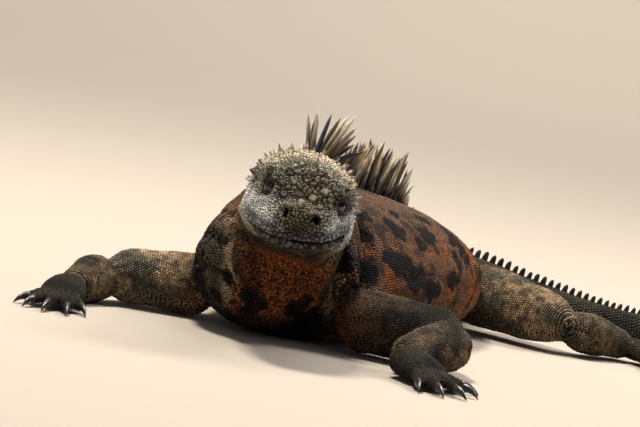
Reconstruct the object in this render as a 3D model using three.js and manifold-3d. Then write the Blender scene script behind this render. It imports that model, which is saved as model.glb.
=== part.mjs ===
// A life-size marine iguana at rest on its belly, head raised and turned to its left.
// Millimetres, +Z up. The animal faces -Y and its left side is +X.
// The origin is on the floor, on the flat of the breast between the shoulders.

import * as THREE from 'three';
import { LoftGeometry } from 'three/addons/geometries/LoftGeometry.js';
import { mergeVertices } from 'three/addons/utils/BufferGeometryUtils.js';
import Module from 'manifold-3d';

const wasm = await Module();
wasm.setup();

// Driving sizes: the cut between parts, how much a neighbour is grown to cut it, the smallest
// edge kept, how far grown trunk pieces reach into each other, then the head, eye and trunk.
const GAP = 0.3;
const GROWN = 0.4;
const SLIVER = 0.03;
const OVERLAP = 1.5;
const HEAD_YAW = 27;
const HEAD_ROLL = 6;
const HEAD_CENTRE = { x: 33.4, y: - 72.5, z: 70 };
const SKULL_BACK = 26;
const SNOUT_LENGTH = 56.5;
const EYE_RADIUS = 5.4;
const SHOULDER_Y = - 14;
const TAIL_BASE_Y = 228;
const LEFT = 1;
const RIGHT = - 1;

const UP = new THREE.Vector3( 0, 0, 1 );
const { clamp, degToRad, smoothstep, lerp } = THREE.MathUtils;
const vector = ( x, y, z ) => new THREE.Vector3( x, y, z );

const SKIN_GLOSS = 0.85;
const CLAW_GLOSS = 0.35;
const EYE_GLOSS = 0.15;
const COLOUR = {
	head: 0x5b5650,
	jaw: 0x4a4441,
	eye: 0x1a120c,
	body: 0x6b4330,
	limb: 0x3a3630,
	tail: 0x26272a,
	claw: 0x17151a,
};

// A repeatable draw between two values
function seededDraw( seed ) {

	let state = seed;
	return ( low, high ) => {

		state = ( state * 1664525 + 1013904223 ) % 4294967296;
		return lerp( low, high, state / 4294967296 );

	};

}

// The value of one named size at a place between stations, smooth and without overshoot
function sizeAt( stations, at, key ) {

	const last = stations.length - 1;
	const rise = ( k ) => {

		const [ from, to ] = [ stations[ k ], stations[ k + 1 ] ];
		return ( to[ key ] - from[ key ] ) / ( to.at - from.at );

	};

	const slope = ( k ) => {

		if ( k === 0 ) return rise( 0 );
		if ( k === last ) return rise( last - 1 );
		const before = rise( k - 1 );
		const after = rise( k );
		return before * after <= 0 ? 0 : 2 * before * after / ( before + after );

	};

	if ( at <= stations[ 0 ].at ) return stations[ 0 ][ key ];
	if ( at >= stations[ last ].at ) return stations[ last ][ key ];
	const i = stations.findIndex( ( station, k ) => k < last && at <= stations[ k + 1 ].at );
	const a = stations[ i ];
	const b = stations[ i + 1 ];
	const span = b.at - a.at;
	const t = ( at - a.at ) / span;
	return a[ key ] + t * span * slope( i )
		+ t * t * ( 3 * ( b[ key ] - a[ key ] ) - span * ( 2 * slope( i ) + slope( i + 1 ) ) )
		+ t ** 3 * ( 2 * ( a[ key ] - b[ key ] ) + span * ( slope( i ) + slope( i + 1 ) ) );

}

// One stretch of flesh along a curve. A station holds the place along the curve (at),
// the half width (wide), the height of the widest level over the curve (level), how far
// the section reaches over and under that level (above, below), and how square it is
// there: 2 is round, less is roof-like, more is boxy.
class Flesh {

	constructor( { curve, stations, roll = () => 0, up = UP, roundStart = 0, roundEnd = 0 } ) {

		this.curve = curve;
		this.length = curve.getLength();
		this.stations = stations;
		this.roll = roll;
		this.up = up;
		this.roundStart = roundStart;
		this.roundEnd = roundEnd;

	}

	size( key, at ) {

		return sizeAt( this.stations, at, key );

	}

	frame( at ) {

		const u = clamp( at / this.length, 0, 1 );
		const ahead = this.curve.getTangentAt( u );
		const side = vector().crossVectors( this.up, ahead ).normalize();
		const top = vector().crossVectors( ahead, side );
		const centre = this.curve.getPointAt( u ).addScaledVector( ahead, at - u * this.length );
		centre.addScaledVector( top, this.size( 'level', at ) );
		const turn = degToRad( this.roll( at ) );
		side.applyAxisAngle( ahead, turn );
		top.applyAxisAngle( ahead, turn );
		return { centre, ahead, side, top };

	}

	// How much a rounded end has closed in at this place
	closing( at, grow ) {

		const start = this.roundStart ? clamp( ( at + grow ) / this.roundStart, 0, 1 ) : 1;
		const end = this.roundEnd ? clamp( ( this.length - at + grow ) / this.roundEnd, 0, 1 ) : 1;
		return Math.sqrt( 1 - ( 1 - start ) ** 2 ) * Math.sqrt( 1 - ( 1 - end ) ** 2 );

	}

	// A point of the skin. Angle 0 is one side, 90 the back line, 270 the belly line.
	point( at, angle, grow = 0 ) {

		const { centre, side, top } = this.frame( at );
		const c = Math.cos( degToRad( angle ) );
		const s = Math.sin( degToRad( angle ) );
		const upper = s >= 0;
		const power = 2 / this.size( upper ? 'squareAbove' : 'squareBelow', at );
		const closing = this.closing( at, grow );
		const wide = this.size( 'wide', at ) * closing + grow;
		const reach = this.size( upper ? 'above' : 'below', at ) * closing + grow;
		centre.addScaledVector( side, Math.sign( c ) * Math.abs( c ) ** power * wide );
		return centre.addScaledVector( top, Math.sign( s ) * Math.abs( s ) ** power * reach );

	}

	// Where something stands on the skin: the point, the way out of the skin and the way ahead along it
	seat( at, angle ) {

		const step = 0.6;
		const turn = 2;
		const point = this.point( at, angle );
		const ahead = this.point( at + step, angle ).sub( this.point( at - step, angle ) ).normalize();
		const around = this.point( at, angle + turn ).sub( this.point( at, angle - turn ) );
		const out = vector().crossVectors( around, ahead ).normalize();
		return { point, ahead, out, across: vector().crossVectors( ahead, out ) };

	}

	solid( places, sides, grow = 0 ) {

		const sections = places.map( ( at ) =>
			Array.from( { length: sides }, ( _, j ) => this.point( at, 360 * j / sides, grow ) ) );
		return toSolid( new LoftGeometry( sections, { capStart: true, capEnd: true } ) );

	}

}

// Even places from one distance to another
function evenly( from, to, steps ) {

	return Array.from( { length: steps + 1 }, ( _, i ) => lerp( from, to, i / steps ) );

}

// Places that crowd together at a rounded end
function rounded( length, { start = 0, end = 0, steps = 6, grow = 0 } ) {

	const inner = evenly( start, length - end, steps );
	const turns = [ 0.04, 0.35 ];
	const first = start ? turns.map( ( t ) => start * t - grow * ( 1 - t ) ) : [];
	const last = end ? turns.map( ( t ) => length - end * t + grow * ( 1 - t ) ).reverse() : [];
	return [ ...first, ...inner, ...last ];

}

function toSolid( geometry ) {

	const bare = new THREE.BufferGeometry();
	bare.setAttribute( 'position', geometry.attributes.position );
	if ( geometry.index ) bare.setIndex( geometry.index );
	const merged = mergeVertices( bare, 1e-4 );
	return new wasm.Manifold( new wasm.Mesh( {
		numProp: 3,
		vertProperties: new Float32Array( merged.attributes.position.array ),
		triVerts: new Uint32Array( merged.index.array ),
	} ) );

}

function joined( solids ) {

	return solids.reduce( ( sum, solid ) => sum.add( solid ) );

}

function largest( solid ) {

	return solid.decompose().sort( ( a, b ) => b.volume() - a.volume() )[ 0 ];

}

function cut( solid, ...tools ) {

	return largest( tools.reduce( ( left, tool ) => left.subtract( tool ), solid ) );

}

// A tapered form on a bent axis. For a share of its length from root to tip, path gives the
// centre and two half sizes as vectors, where broad, the way to the tip and thin turn like X, Y and Z.
function bentCone( sides, steps, path ) {

	const cone = new THREE.ConeGeometry( 1, 1, sides, steps );
	const position = cone.attributes.position;
	for ( let i = 0; i < position.count; i ++ ) {

		const { centre, broad, thin } = path( position.getY( i ) + 0.5 );
		const point = centre.clone()
			.addScaledVector( broad, position.getX( i ) )
			.addScaledVector( thin, position.getZ( i ) );
		position.setXYZ( i, point.x, point.y, point.z );

	}

	return toSolid( cone );

}

// A crest spine on its seat: it stands along out, leans over in degrees and curls forward or back.
// Lean above zero tips it towards across, curl above zero towards ahead.
function spine( { point, ahead, out, across }, { tall, broad, thin, lean = 0, curl = 0, sink = 3 } ) {

	const fuller = 0.5;
	const tipShift = Math.tan( degToRad( lean ) ) * tall;
	return bentCone( 4, 2, ( h ) => {

		const centre = point.clone()
			.addScaledVector( out, lerp( - sink, tall, h ) )
			.addScaledVector( ahead, curl * tall * h * h )
			.addScaledVector( across, tipShift * Math.max( h - 0.1, 0 ) );
		const wide = 1 + fuller * h;
		return {
			centre,
			broad: ahead.clone().multiplyScalar( broad * wide ),
			thin: across.clone().multiplyScalar( thin * wide ),
		};

	} );

}

// A scute: a low cone of few sides, its root sunk into the skin, its tip shifted ahead
function scute( { point, ahead, out, across }, { long, broad, tall, sides = 6, tip = 0, sink = 1.5 } ) {

	return bentCone( sides, 1, ( h ) => ( {
		centre: point.clone()
			.addScaledVector( out, lerp( - sink, tall, h ) )
			.addScaledVector( ahead, tip * h ),
		broad: ahead.clone().multiplyScalar( long ),
		thin: across.clone().multiplyScalar( broad ),
	} ) );

}

// A ball with three half sizes along the axes of a frame
function ball( centre, { ahead, side, top }, [ long, wide, tall ], rings = 8 ) {

	const sphere = new THREE.SphereGeometry( 1, rings + 3, rings );
	const position = sphere.attributes.position;
	for ( let i = 0; i < position.count; i ++ ) {

		const point = centre.clone()
			.addScaledVector( ahead, position.getX( i ) * long )
			.addScaledVector( side, position.getY( i ) * wide )
			.addScaledVector( top, position.getZ( i ) * tall );
		position.setXYZ( i, point.x, point.y, point.z );

	}

	return toSolid( sphere );

}

// What lies under the floor, to cut the flats that the animal rests on
function floorBlock() {

	const size = 1400;
	const depth = 80;
	const geometry = new THREE.BoxGeometry( size, size, depth );
	geometry.translate( 0, 0, - depth / 2 );
	return toSolid( geometry );

}

const FLOOR = floorBlock();
const iguana = new THREE.Group();

function addNode( name, solid, colour, roughness = SKIN_GLOSS ) {

	const { vertProperties, triVerts } = solid.simplify( SLIVER ).getMesh();
	const geometry = new THREE.BufferGeometry();
	geometry.setAttribute( 'position', new THREE.BufferAttribute( new Float32Array( vertProperties ), 3 ) );
	geometry.setIndex( new THREE.BufferAttribute( new Uint32Array( triVerts ), 1 ) );
	geometry.computeVertexNormals();
	const mesh = new THREE.Mesh( geometry, new THREE.MeshStandardMaterial( { color: colour, roughness } ) );
	mesh.name = name;
	iguana.add( mesh );

}

// The head runs along a straight axis from the back of the skull to the snout

const forward = vector( Math.sin( degToRad( HEAD_YAW ) ), - Math.cos( degToRad( HEAD_YAW ) ), 0 );
const skullBack = vector( HEAD_CENTRE.x, HEAD_CENTRE.y, 0 ).addScaledVector( forward, - SKULL_BACK );

const head = new Flesh( {
	curve: new THREE.LineCurve3( skullBack, skullBack.clone().addScaledVector( forward, SNOUT_LENGTH ) ),
	roll: () => - HEAD_ROLL,
	stations: [
		{ at: 0, wide: 25.2, above: 27, below: 28 },
		{ at: 8, wide: 27, above: 29.5, below: 23 },
		{ at: 18, wide: 27.4, above: 31, below: 19 },
		{ at: 28, wide: 25.8, above: 29, below: 17 },
		{ at: 37, wide: 23.5, above: 23.5, below: 16 },
		{ at: 45, wide: 20, above: 16.5, below: 15.5 },
		{ at: 51, wide: 16.5, above: 10.5, below: 14 },
		{ at: 54.5, wide: 12.5, above: 6.5, below: 12 },
		{ at: SNOUT_LENGTH, wide: 7, above: 2.5, below: 8.5 },
	].map( ( station ) => ( { ...station, level: HEAD_CENTRE.z, squareAbove: 2.2, squareBelow: 2.3 } ) ),
} );

// Neck, from the shoulders to the back of the skull

const shoulderFront = vector( 0, SHOULDER_Y, 0 );
const NECK_EASE = 14;
const neckCurve = new THREE.CubicBezierCurve3(
	shoulderFront,
	shoulderFront.clone().add( vector( 0, - NECK_EASE, 0 ) ),
	skullBack.clone().addScaledVector( forward, - NECK_EASE ),
	skullBack,
);
const NECK_LENGTH = neckCurve.getLength();
const SHOULDER_RING = { wide: 47, level: 32, top: 87, low: 0.5, squareAbove: 1.45, squareBelow: 2.3 };

// A station from heights over the floor
function standing( { at, wide, level, top, low, squareAbove, squareBelow } ) {

	return { at, wide, level, above: top - level, below: level - low, squareAbove, squareBelow };

}

const neck = new Flesh( {
	curve: neckCurve,
	roll: ( at ) => - HEAD_ROLL * smoothstep( at, 0, NECK_LENGTH ),
	stations: [
		{ at: 0, ...SHOULDER_RING },
		{ at: NECK_LENGTH * 0.35, wide: 38, level: 41, top: 90, low: 5, squareAbove: 1.5, squareBelow: 2.1 },
		{ at: NECK_LENGTH * 0.65, wide: 30, level: 54, top: 93, low: 9, squareAbove: 1.8, squareBelow: 2 },
		{ at: NECK_LENGTH * 0.85, wide: 27, level: 64, top: 96, low: 18, squareAbove: 2, squareBelow: 2.1 },
		{ at: NECK_LENGTH, wide: 26.5, level: 70, top: 97, low: 42, squareAbove: 2.2, squareBelow: 2.3 },
	].map( standing ),
} );

// Trunk, from the tail's root to the shoulders

const TRUNK_LENGTH = TAIL_BASE_Y - SHOULDER_Y;
const TAIL_ROOT_RING = { wide: 23, level: 20, top: 42, low: - 0.6, squareAbove: 2, squareBelow: 2.2 };

const trunk = new Flesh( {
	curve: new THREE.LineCurve3( vector( 0, SHOULDER_Y, 0 ), vector( 0, TAIL_BASE_Y, 0 ) ),
	stations: [
		{ y: SHOULDER_Y, ...SHOULDER_RING },
		{ y: 8, wide: 54, level: 32, top: 85.5, low: - 1.6, squareAbove: 1.5, squareBelow: 2.3 },
		{ y: 40, wide: 60, level: 32, top: 82, low: - 2, squareAbove: 1.6, squareBelow: 2.3 },
		{ y: 80, wide: 62, level: 33, top: 77, low: - 2, squareAbove: 1.8, squareBelow: 2.3 },
		{ y: 115, wide: 60, level: 34, top: 71, low: - 2, squareAbove: 2, squareBelow: 2.3 },
		{ y: 145, wide: 53, level: 33, top: 62, low: - 1.5, squareAbove: 2.1, squareBelow: 2.3 },
		{ y: 175, wide: 41, level: 28, top: 52, low: - 1, squareAbove: 2.1, squareBelow: 2.3 },
		{ y: 205, wide: 30, level: 23, top: 46, low: - 0.8, squareAbove: 2, squareBelow: 2.2 },
		{ y: TAIL_BASE_Y, ...TAIL_ROOT_RING },
	].map( ( ring ) => standing( { ...ring, at: ring.y - SHOULDER_Y } ) ),
} );

// Tail, flat-sided, laid on the floor in one long bend to the left

const tailCurve = new THREE.CurvePath();
tailCurve.add( new THREE.CubicBezierCurve3(
	vector( 0, TAIL_BASE_Y, 0 ),
	vector( 0, 258, 0 ),
	vector( 70, 250, 0 ),
	vector( 112, 278, 0 ),
) );
tailCurve.add( new THREE.CubicBezierCurve3(
	vector( 112, 278, 0 ),
	vector( 196, 334, 0 ),
	vector( 250, 440, 0 ),
	vector( 392, 452, 0 ),
) );
const TAIL_LENGTH = tailCurve.getLength();

const tail = new Flesh( {
	curve: tailCurve,
	stations: [
		{ at: 0, ...TAIL_ROOT_RING },
		{ at: 25, wide: 18, top: 38 },
		{ at: 60, wide: 13.5, top: 31 },
		{ at: 110, wide: 10.5, top: 24 },
		{ at: 180, wide: 8, top: 20 },
		{ at: 300, wide: 5.5, top: 15 },
		{ at: 410, wide: 3.6, top: 10 },
		{ at: TAIL_LENGTH - 8, wide: 2, top: 5 },
		{ at: TAIL_LENGTH, wide: 1, top: 2.6 },
	].map( ( ring ) => standing( {
		level: ring.top * 0.45,
		low: - 0.6,
		squareAbove: 2,
		squareBelow: 2.2,
		...ring,
	} ) ),
} );

// Flesh solids of the trunk, each also grown a little to cut its neighbours clear

const neckPlaces = evenly( GAP / 2, NECK_LENGTH - GAP / 2, 6 );
const trunkPlaces = evenly( GAP / 2, TRUNK_LENGTH - GAP / 2, 13 );
const TAIL_JOINTS = [ 0, 85, 195, 330, TAIL_LENGTH ];
const tailRootPlaces = evenly( GAP / 2, TAIL_JOINTS[ 1 ] - GAP / 2, 8 );
const trunkGrown = joined( [
	neck.solid( [ - OVERLAP, ...neckPlaces ], 24, 1.2 * GROWN ),
	trunk.solid( [ ...trunkPlaces, TRUNK_LENGTH + OVERLAP ], 24, GROWN ),
	tail.solid( tailRootPlaces, 16, 1.2 * GROWN ),
] );

// Head: lids, eyes, nostrils, mouth line, lips and scutes

const draw = seededDraw( 11 );
const EYE = { at: 37.5, out: 14.8, up: 10.3 };
const NOSTRIL = { at: 55.4, out: 7.3, up: 2 };

// A point of the head from its place along the axis, its distance to the left and its height
function inHead( at, left, up ) {

	const { centre, side, top } = head.frame( at );
	return centre.addScaledVector( side, left ).addScaledVector( top, up );

}

// The angle of the skin, seen along the axis, where it passes a height over or under the widest level
function angleAtHeight( at, up, side ) {

	const key = up >= 0 ? 'above' : 'below';
	const square = head.size( up >= 0 ? 'squareAbove' : 'squareBelow', at );
	const rise = clamp( Math.abs( up ) / head.size( key, at ), 0, 1 );
	const angle = THREE.MathUtils.radToDeg( Math.asin( rise ** ( square / 2 ) ) ) * Math.sign( up );
	return side === LEFT ? angle : 180 - angle;

}

// The mouth line from its front to its corner, as places along the axis and heights,
// and how the cut goes on behind the jaw down to the throat
const mouthLine = [ [ 62, - 10.8 ], [ 55, - 10.2 ], [ 47, - 8.6 ], [ 40, - 7 ], [ 34, - 5.8 ] ];
const jawLine = [ [ 28, - 7.5 ], [ 21, - 16 ], [ 16, - 32 ], [ 14, - 60 ] ];

// The jaws are a little askew: this much higher for each millimetre to the animal's left
const MOUTH_SLANT = 0.14;

function curveOf( places ) {

	return new THREE.SplineCurve( places.map( ( [ at, up ] ) => new THREE.Vector2( at, up ) ) );

}

// The thin curved sheet that parts the lower jaw from the head
function mouthCut() {

	const half = GAP / 2 + 0.05;
	const line = curveOf( [ ...mouthLine, ...jawLine ] );
	const steps = 22;
	const outline = [];
	for ( const side of [ 1, - 1 ] ) {

		const edge = evenly( 0, 1, steps ).map( ( t ) => {

			const along = line.getTangent( t );
			return line.getPoint( t ).add( new THREE.Vector2( - along.y, along.x ).multiplyScalar( side * half ) );

		} );
		outline.push( ...( side === 1 ? edge : edge.reverse() ) );

	}

	const depth = 90;
	const strip = new THREE.ExtrudeGeometry( new THREE.Shape( outline ), { depth, bevelEnabled: false } );
	strip.translate( 0, 0, - depth / 2 );
	const position = strip.attributes.position;
	for ( let i = 0; i < position.count; i ++ ) {

		const left = - position.getZ( i );
		const point = inHead( position.getX( i ), left, position.getY( i ) + MOUTH_SLANT * left );
		position.setXYZ( i, point.x, point.y, point.z );

	}

	return toSolid( strip );

}

// Rows of conical scutes over the crown and brows, smaller ones down the temples and cheeks
function crownScutes() {

	const solids = [];
	const rows = [
		{ at: 5, tall: 3.4, broad: 2.6, from: 28, to: 152, step: 16 },
		{ at: 11, tall: 3.6, broad: 2.7, from: 20, to: 160, step: 15 },
		{ at: 17, tall: 3.4, broad: 2.8, from: 26, to: 154, step: 16 },
		{ at: 23, tall: 3, broad: 2.8, from: 32, to: 148, step: 17 },
		{ at: 29, tall: 2.4, broad: 2.7, from: 40, to: 140, step: 20 },
		{ at: 35, tall: 2, broad: 2.5, from: 58, to: 122, step: 21 },
		{ at: 41, tall: 1.7, broad: 2.3, from: 45, to: 135, step: 22 },
		{ at: 46, tall: 1.5, broad: 2, from: 35, to: 145, step: 27 },
	];
	rows.forEach( ( { at, tall, broad, from, to, step }, row ) => {

		const shift = row % 2 ? step / 2 : 0;
		for ( let angle = from + shift; angle <= to; angle += step ) {

			const place = head.seat( at + draw( - 0.8, 0.8 ), angle + draw( - 2, 2 ) );
			const height = tall * draw( 0.8, 1.25 );
			const width = broad * draw( 0.9, 1.1 );
			solids.push( scute( place, { long: width, broad: width, tall: height, sides: 5, tip: - 0.5 } ) );

		}

	} );
	return solids;

}

// Low plates over and under the mouth line
function lipPlates( upper ) {

	const solids = [];
	const line = curveOf( mouthLine );
	const offset = upper ? 1.7 : - 1.7;
	for ( const side of [ LEFT, RIGHT ] ) {

		for ( const t of evenly( 0.24, 0.95, 5 ) ) {

			const { x: at, y: up } = line.getPoint( t );
			const askew = MOUTH_SLANT * side * head.size( 'wide', at );
			const place = head.seat( at, angleAtHeight( at, up + offset + askew, side ) );
			solids.push( scute( place, { long: 2.6, broad: 1.5, tall: 0.9, sides: 6, sink: 1.2 } ) );

		}

	}

	return solids;

}

// One side of the face: a hollow with the lids in it, the slit between them and the nostril.
// Half sizes of each ball run along the head, across it and up.
function facedSide( skull, side ) {

	const axes = head.frame( EYE.at );
	const centre = inHead( EYE.at, side * EYE.out, EYE.up );
	const round = ( radius ) => [ radius, radius, radius ];
	const eye = ball( centre, axes, round( EYE_RADIUS ) );
	const socket = ball( centre, axes, round( EYE_RADIUS + GAP ) );
	const lids = ball( centre, axes, [ EYE_RADIUS + 1.5, EYE_RADIUS + 0.9, EYE_RADIUS + 1.1 ] );
	const hollow = ball( inHead( EYE.at, side * ( EYE.out + 8.4 ), EYE.up - 0.5 ), axes, [ 8.5, 4.4, 6.5 ], 6 );
	const slit = ball( inHead( EYE.at, side * ( EYE.out + 5.4 ), EYE.up - 0.2 ), axes, [ 4.4, 3, 2.3 ], 6 );
	const nostril = ball( inHead( NOSTRIL.at, side * NOSTRIL.out, NOSTRIL.up ), axes, [ 2.6, 1.5, 2.2 ], 4 );
	addNode( side === LEFT ? 'eye_left' : 'eye_right', eye, COLOUR.eye, EYE_GLOSS );
	return cut( skull.subtract( hollow ).add( lids ), socket, slit, nostril );

}

function headAndJaw() {

	const places = [ ...evenly( GAP / 2, 50, 11 ), 52.5, 54.5, 55.8, SNOUT_LENGTH ];
	const cutter = mouthCut();
	const pieces = joined( [ head.solid( places, 24 ), ...crownScutes() ] ).subtract( cutter ).decompose();
	const [ skull, jaw ] = pieces.sort( ( a, b ) => b.volume() - a.volume() );
	const lipped = joined( [ skull, ...lipPlates( true ) ] ).subtract( cutter );
	addNode( 'head', facedSide( facedSide( lipped, LEFT ), RIGHT ), COLOUR.head );
	addNode( 'lower_jaw', cut( joined( [ jaw, ...lipPlates( false ) ] ), cutter ), COLOUR.jaw );

}

headAndJaw();

// Crest: one row of spines from nape to tail tip, tallest over the shoulders

const BACK_LINE = 90;

// The sheaf of the nape: how far each spine stands behind the skull, its seat's angle, lean and height
const napeSeats = [
	{ behind: 33.5, angle: 90, lean: - 5, tall: 10 },
	{ behind: 27.5, angle: 90, lean: - 3, tall: 11 },
	{ behind: 21.5, angle: 90, lean: - 7, tall: 13 },
	{ behind: 15.5, angle: 90, lean: - 5, tall: 15 },
	{ behind: 9.5, angle: 91, lean: 9, tall: 25 },
	{ behind: 6, angle: 90, lean: 4, tall: 25 },
	{ behind: 4, angle: 89, lean: - 8, tall: 25 },
	{ behind: 4, angle: 87, lean: - 16, tall: 26 },
	{ behind: 3.6, angle: 85, lean: - 21, tall: 29 },
	{ behind: 4.5, angle: 83, lean: - 29, tall: 25 },
	{ behind: 6, angle: 80, lean: - 46, tall: 19 },
];

function napeSpines() {

	return napeSeats.map( ( { behind, angle, lean, tall } ) => {

		const sizes = { tall, broad: 2.4, thin: 1.2, lean, curl: - 0.1, sink: 4 };
		return spine( neck.seat( NECK_LENGTH - behind, angle ), sizes );

	} );

}

const TRUNK_SPINE_SPACING = 8.5;
const trunkSpineTall = [
	{ at: 0, tall: 9 },
	{ at: 30, tall: 14 },
	{ at: 50, tall: 21 },
	{ at: 75, tall: 27 },
	{ at: 126, tall: 29 },
	{ at: 138, tall: 23 },
	{ at: 148, tall: 13 },
	{ at: 160, tall: 8 },
	{ at: 245, tall: 6 },
];

function trunkSpines() {

	const solids = [];
	const margin = 4;
	for ( let at = margin; at < TRUNK_LENGTH - margin; at += TRUNK_SPINE_SPACING ) {

		const tall = sizeAt( trunkSpineTall, at, 'tall' ) * draw( 0.85, 1.1 );
		const broad = lerp( 1.6, 3.5, tall / 28 );
		const bent = { lean: draw( - 28, - 4 ), curl: draw( 0.05, 0.3 ) };
		const sizes = { tall, broad, thin: broad * 0.5, ...bent, sink: 3.5 };
		solids.push( spine( trunk.seat( at, BACK_LINE ), sizes ) );

	}

	return solids;

}

const TAIL_SPIKE_SPACING = 12;
const tailSpikeTall = [
	{ at: 0, tall: 7 },
	{ at: 60, tall: 5.5 },
	{ at: 200, tall: 4.2 },
	{ at: 380, tall: 2.8 },
	{ at: 470, tall: 1.6 },
];

function tailSpikes( from, to ) {

	const solids = [];
	const margin = 3;
	for ( let at = from + margin; at < to - margin; at += TAIL_SPIKE_SPACING ) {

		const tall = sizeAt( tailSpikeTall, at, 'tall' ) * draw( 0.9, 1.1 );
		const thin = Math.min( 0.9, tall * 0.3 );
		const sizes = { tall, broad: 1.6, thin, lean: draw( - 5, 5 ), curl: 0.4, sink: 1.6 };
		solids.push( spine( tail.seat( at, BACK_LINE ), sizes ) );

	}

	return solids;

}

const crestedNeck = joined( [ neck.solid( neckPlaces, 24 ), ...napeSpines() ] );
const crestedTrunk = joined( [ trunk.solid( trunkPlaces, 24 ), ...trunkSpines() ] );
addNode( 'neck', cut( crestedNeck, FLOOR ), COLOUR.body );
addNode( 'torso', cut( crestedTrunk, FLOOR ), COLOUR.body );

TAIL_JOINTS.slice( 1 ).forEach( ( end, i ) => {

	const start = TAIL_JOINTS[ i ];
	const places = i === 0 ? tailRootPlaces : evenly( start + GAP / 2, end - GAP / 2, 6 );
	const flesh = tail.solid( places, 16 - 2 * i );
	addNode( `tail_${ i + 1 }`, cut( joined( [ flesh, ...tailSpikes( start, end ) ] ), FLOOR ), COLOUR.tail );

} );

// Limbs

// A limb's length of flesh between two joints, with rounded ends. Thick lists the half widths
// at even places along it, and flat how high it is for its width at its start and its end.
function limbLength( from, to, { thick, flat = [ 1, 1 ], start, end, arch = 0 } ) {

	const middle = from.clone().add( to ).multiplyScalar( 0.5 ).addScaledVector( UP, 2 * arch );
	const curve = new THREE.QuadraticBezierCurve3( from, middle, to );
	const length = curve.getLength();
	return new Flesh( {
		curve,
		roundStart: start,
		roundEnd: end,
		stations: thick.map( ( wide, i ) => {

			const share = i / ( thick.length - 1 );
			const tall = wide * lerp( ...flat, share );
			return { at: share * length, wide, level: 0, above: tall, below: tall, squareAbove: 2, squareBelow: 2 };

		} ),
	} );

}

function limbSolid( flesh, sides, steps, grow = 0 ) {

	const ends = { start: flesh.roundStart, end: flesh.roundEnd };
	return flesh.solid( rounded( flesh.length, { ...ends, steps, grow } ), sides, grow );

}

const DIGIT_TIP_Z = 3;
const DIGIT_ARCH = 0.14;
const DIGIT_SIDES = 7;
const CLAW_TIP_Z = 0.7;

// A finger or toe from its root to the flat where its claw sits
function digit( root, heading, long, thick ) {

	const tip = root.clone().addScaledVector( heading, long );
	tip.z = DIGIT_TIP_Z;
	const middle = root.clone().lerp( tip, 0.6 );
	middle.z = DIGIT_TIP_Z + DIGIT_ARCH * long;
	const curve = new THREE.QuadraticBezierCurve3( root, middle, tip );
	const length = curve.getLength();
	const widths = [ thick, thick * 0.88, thick * 0.92, thick * 0.68 ];
	return new Flesh( {
		curve,
		roundStart: thick,
		stations: widths.map( ( wide, i ) => {

			const at = length * i / ( widths.length - 1 );
			return { at, wide, level: 0, above: wide, below: wide, squareAbove: 2, squareBelow: 2 };

		} ),
	} );

}

// A claw on the end of a digit, arched and hooked down to just over the floor
function claw( flesh, long ) {

	const { centre, ahead, side, top } = flesh.frame( flesh.length );
	const root = flesh.size( 'wide', flesh.length ) * 0.86;
	const start = centre.clone().addScaledVector( ahead, GAP );
	const level = vector( ahead.x, ahead.y, 0 ).normalize();
	const tip = start.clone().addScaledVector( level, long );
	tip.z = CLAW_TIP_Z;
	const over = start.clone().addScaledVector( ahead, long * 0.5 );
	const curve = new THREE.QuadraticBezierCurve3( start, over, tip );
	return bentCone( 5, 3, ( h ) => {

		const fuller = 1 + 0.35 * h;
		const bend = curve.getTangent( h );
		return {
			centre: curve.getPoint( h ),
			broad: side.clone().multiplyScalar( root * 0.8 * fuller ),
			thin: vector().crossVectors( side, bend ).normalize().multiplyScalar( root * fuller ),
		};

	} );

}

// Hand or foot: a flat pad with its digits, spread in plan around the pad's own heading
function paw( { pad, long, spread, thick, clawLong, name, cutters } ) {

	const { centre, ahead, side } = pad.frame( pad.length - pad.roundEnd * 0.6 );
	const heading = vector( ahead.x, ahead.y, 0 ).normalize();
	const solids = [ limbSolid( pad, 12, 2 ) ];
	const fingersGrown = [];
	const claws = [];
	for ( let i = 0; i < long.length; i ++ ) {

		const turn = lerp( - spread, spread, i / ( long.length - 1 ) );
		const way = heading.clone().applyAxisAngle( UP, degToRad( turn ) );
		const shift = Math.sin( degToRad( turn ) ) * pad.size( 'wide', pad.length ) * 0.9;
		const root = centre.clone().addScaledVector( side, shift );
		const finger = digit( root, way, long[ i ], thick );
		const places = rounded( finger.length, { start: thick, steps: 3 } );
		solids.push( finger.solid( places, DIGIT_SIDES ) );
		fingersGrown.push( finger.solid( places, DIGIT_SIDES, GROWN ) );
		claws.push( claw( finger, clawLong ) );

	}

	addNode( name, cut( joined( solids ), FLOOR, ...cutters ), COLOUR.limb );
	claws.forEach( ( solid, i ) => {

		const others = fingersGrown.filter( ( _, k ) => k !== i );
		addNode( `claw_${ name }_${ i + 1 }`, cut( solid, FLOOR, ...others ), COLOUR.claw, CLAW_GLOSS );

	} );

}

const LIMB_SIDES = 14;
const FINGER_LONG = [ 15, 21, 25, 24, 17 ];
const TOE_LONG = [ 16, 24, 32, 38, 24 ];

const arms = [
	{
		name: 'left',
		side: LEFT,
		shoulder: vector( 38, - 8, 17 ),
		elbow: vector( 101, 3, 17 ),
		wrist: vector( 87, - 44, 9 ),
		knuckles: vector( 110, - 57, 6 ),
	},
	{
		name: 'right',
		side: RIGHT,
		shoulder: vector( - 38, - 4, 17 ),
		elbow: vector( - 91, - 32, 14 ),
		wrist: vector( - 88, - 68, 9 ),
		knuckles: vector( - 82, - 89, 6 ),
	},
];

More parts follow.
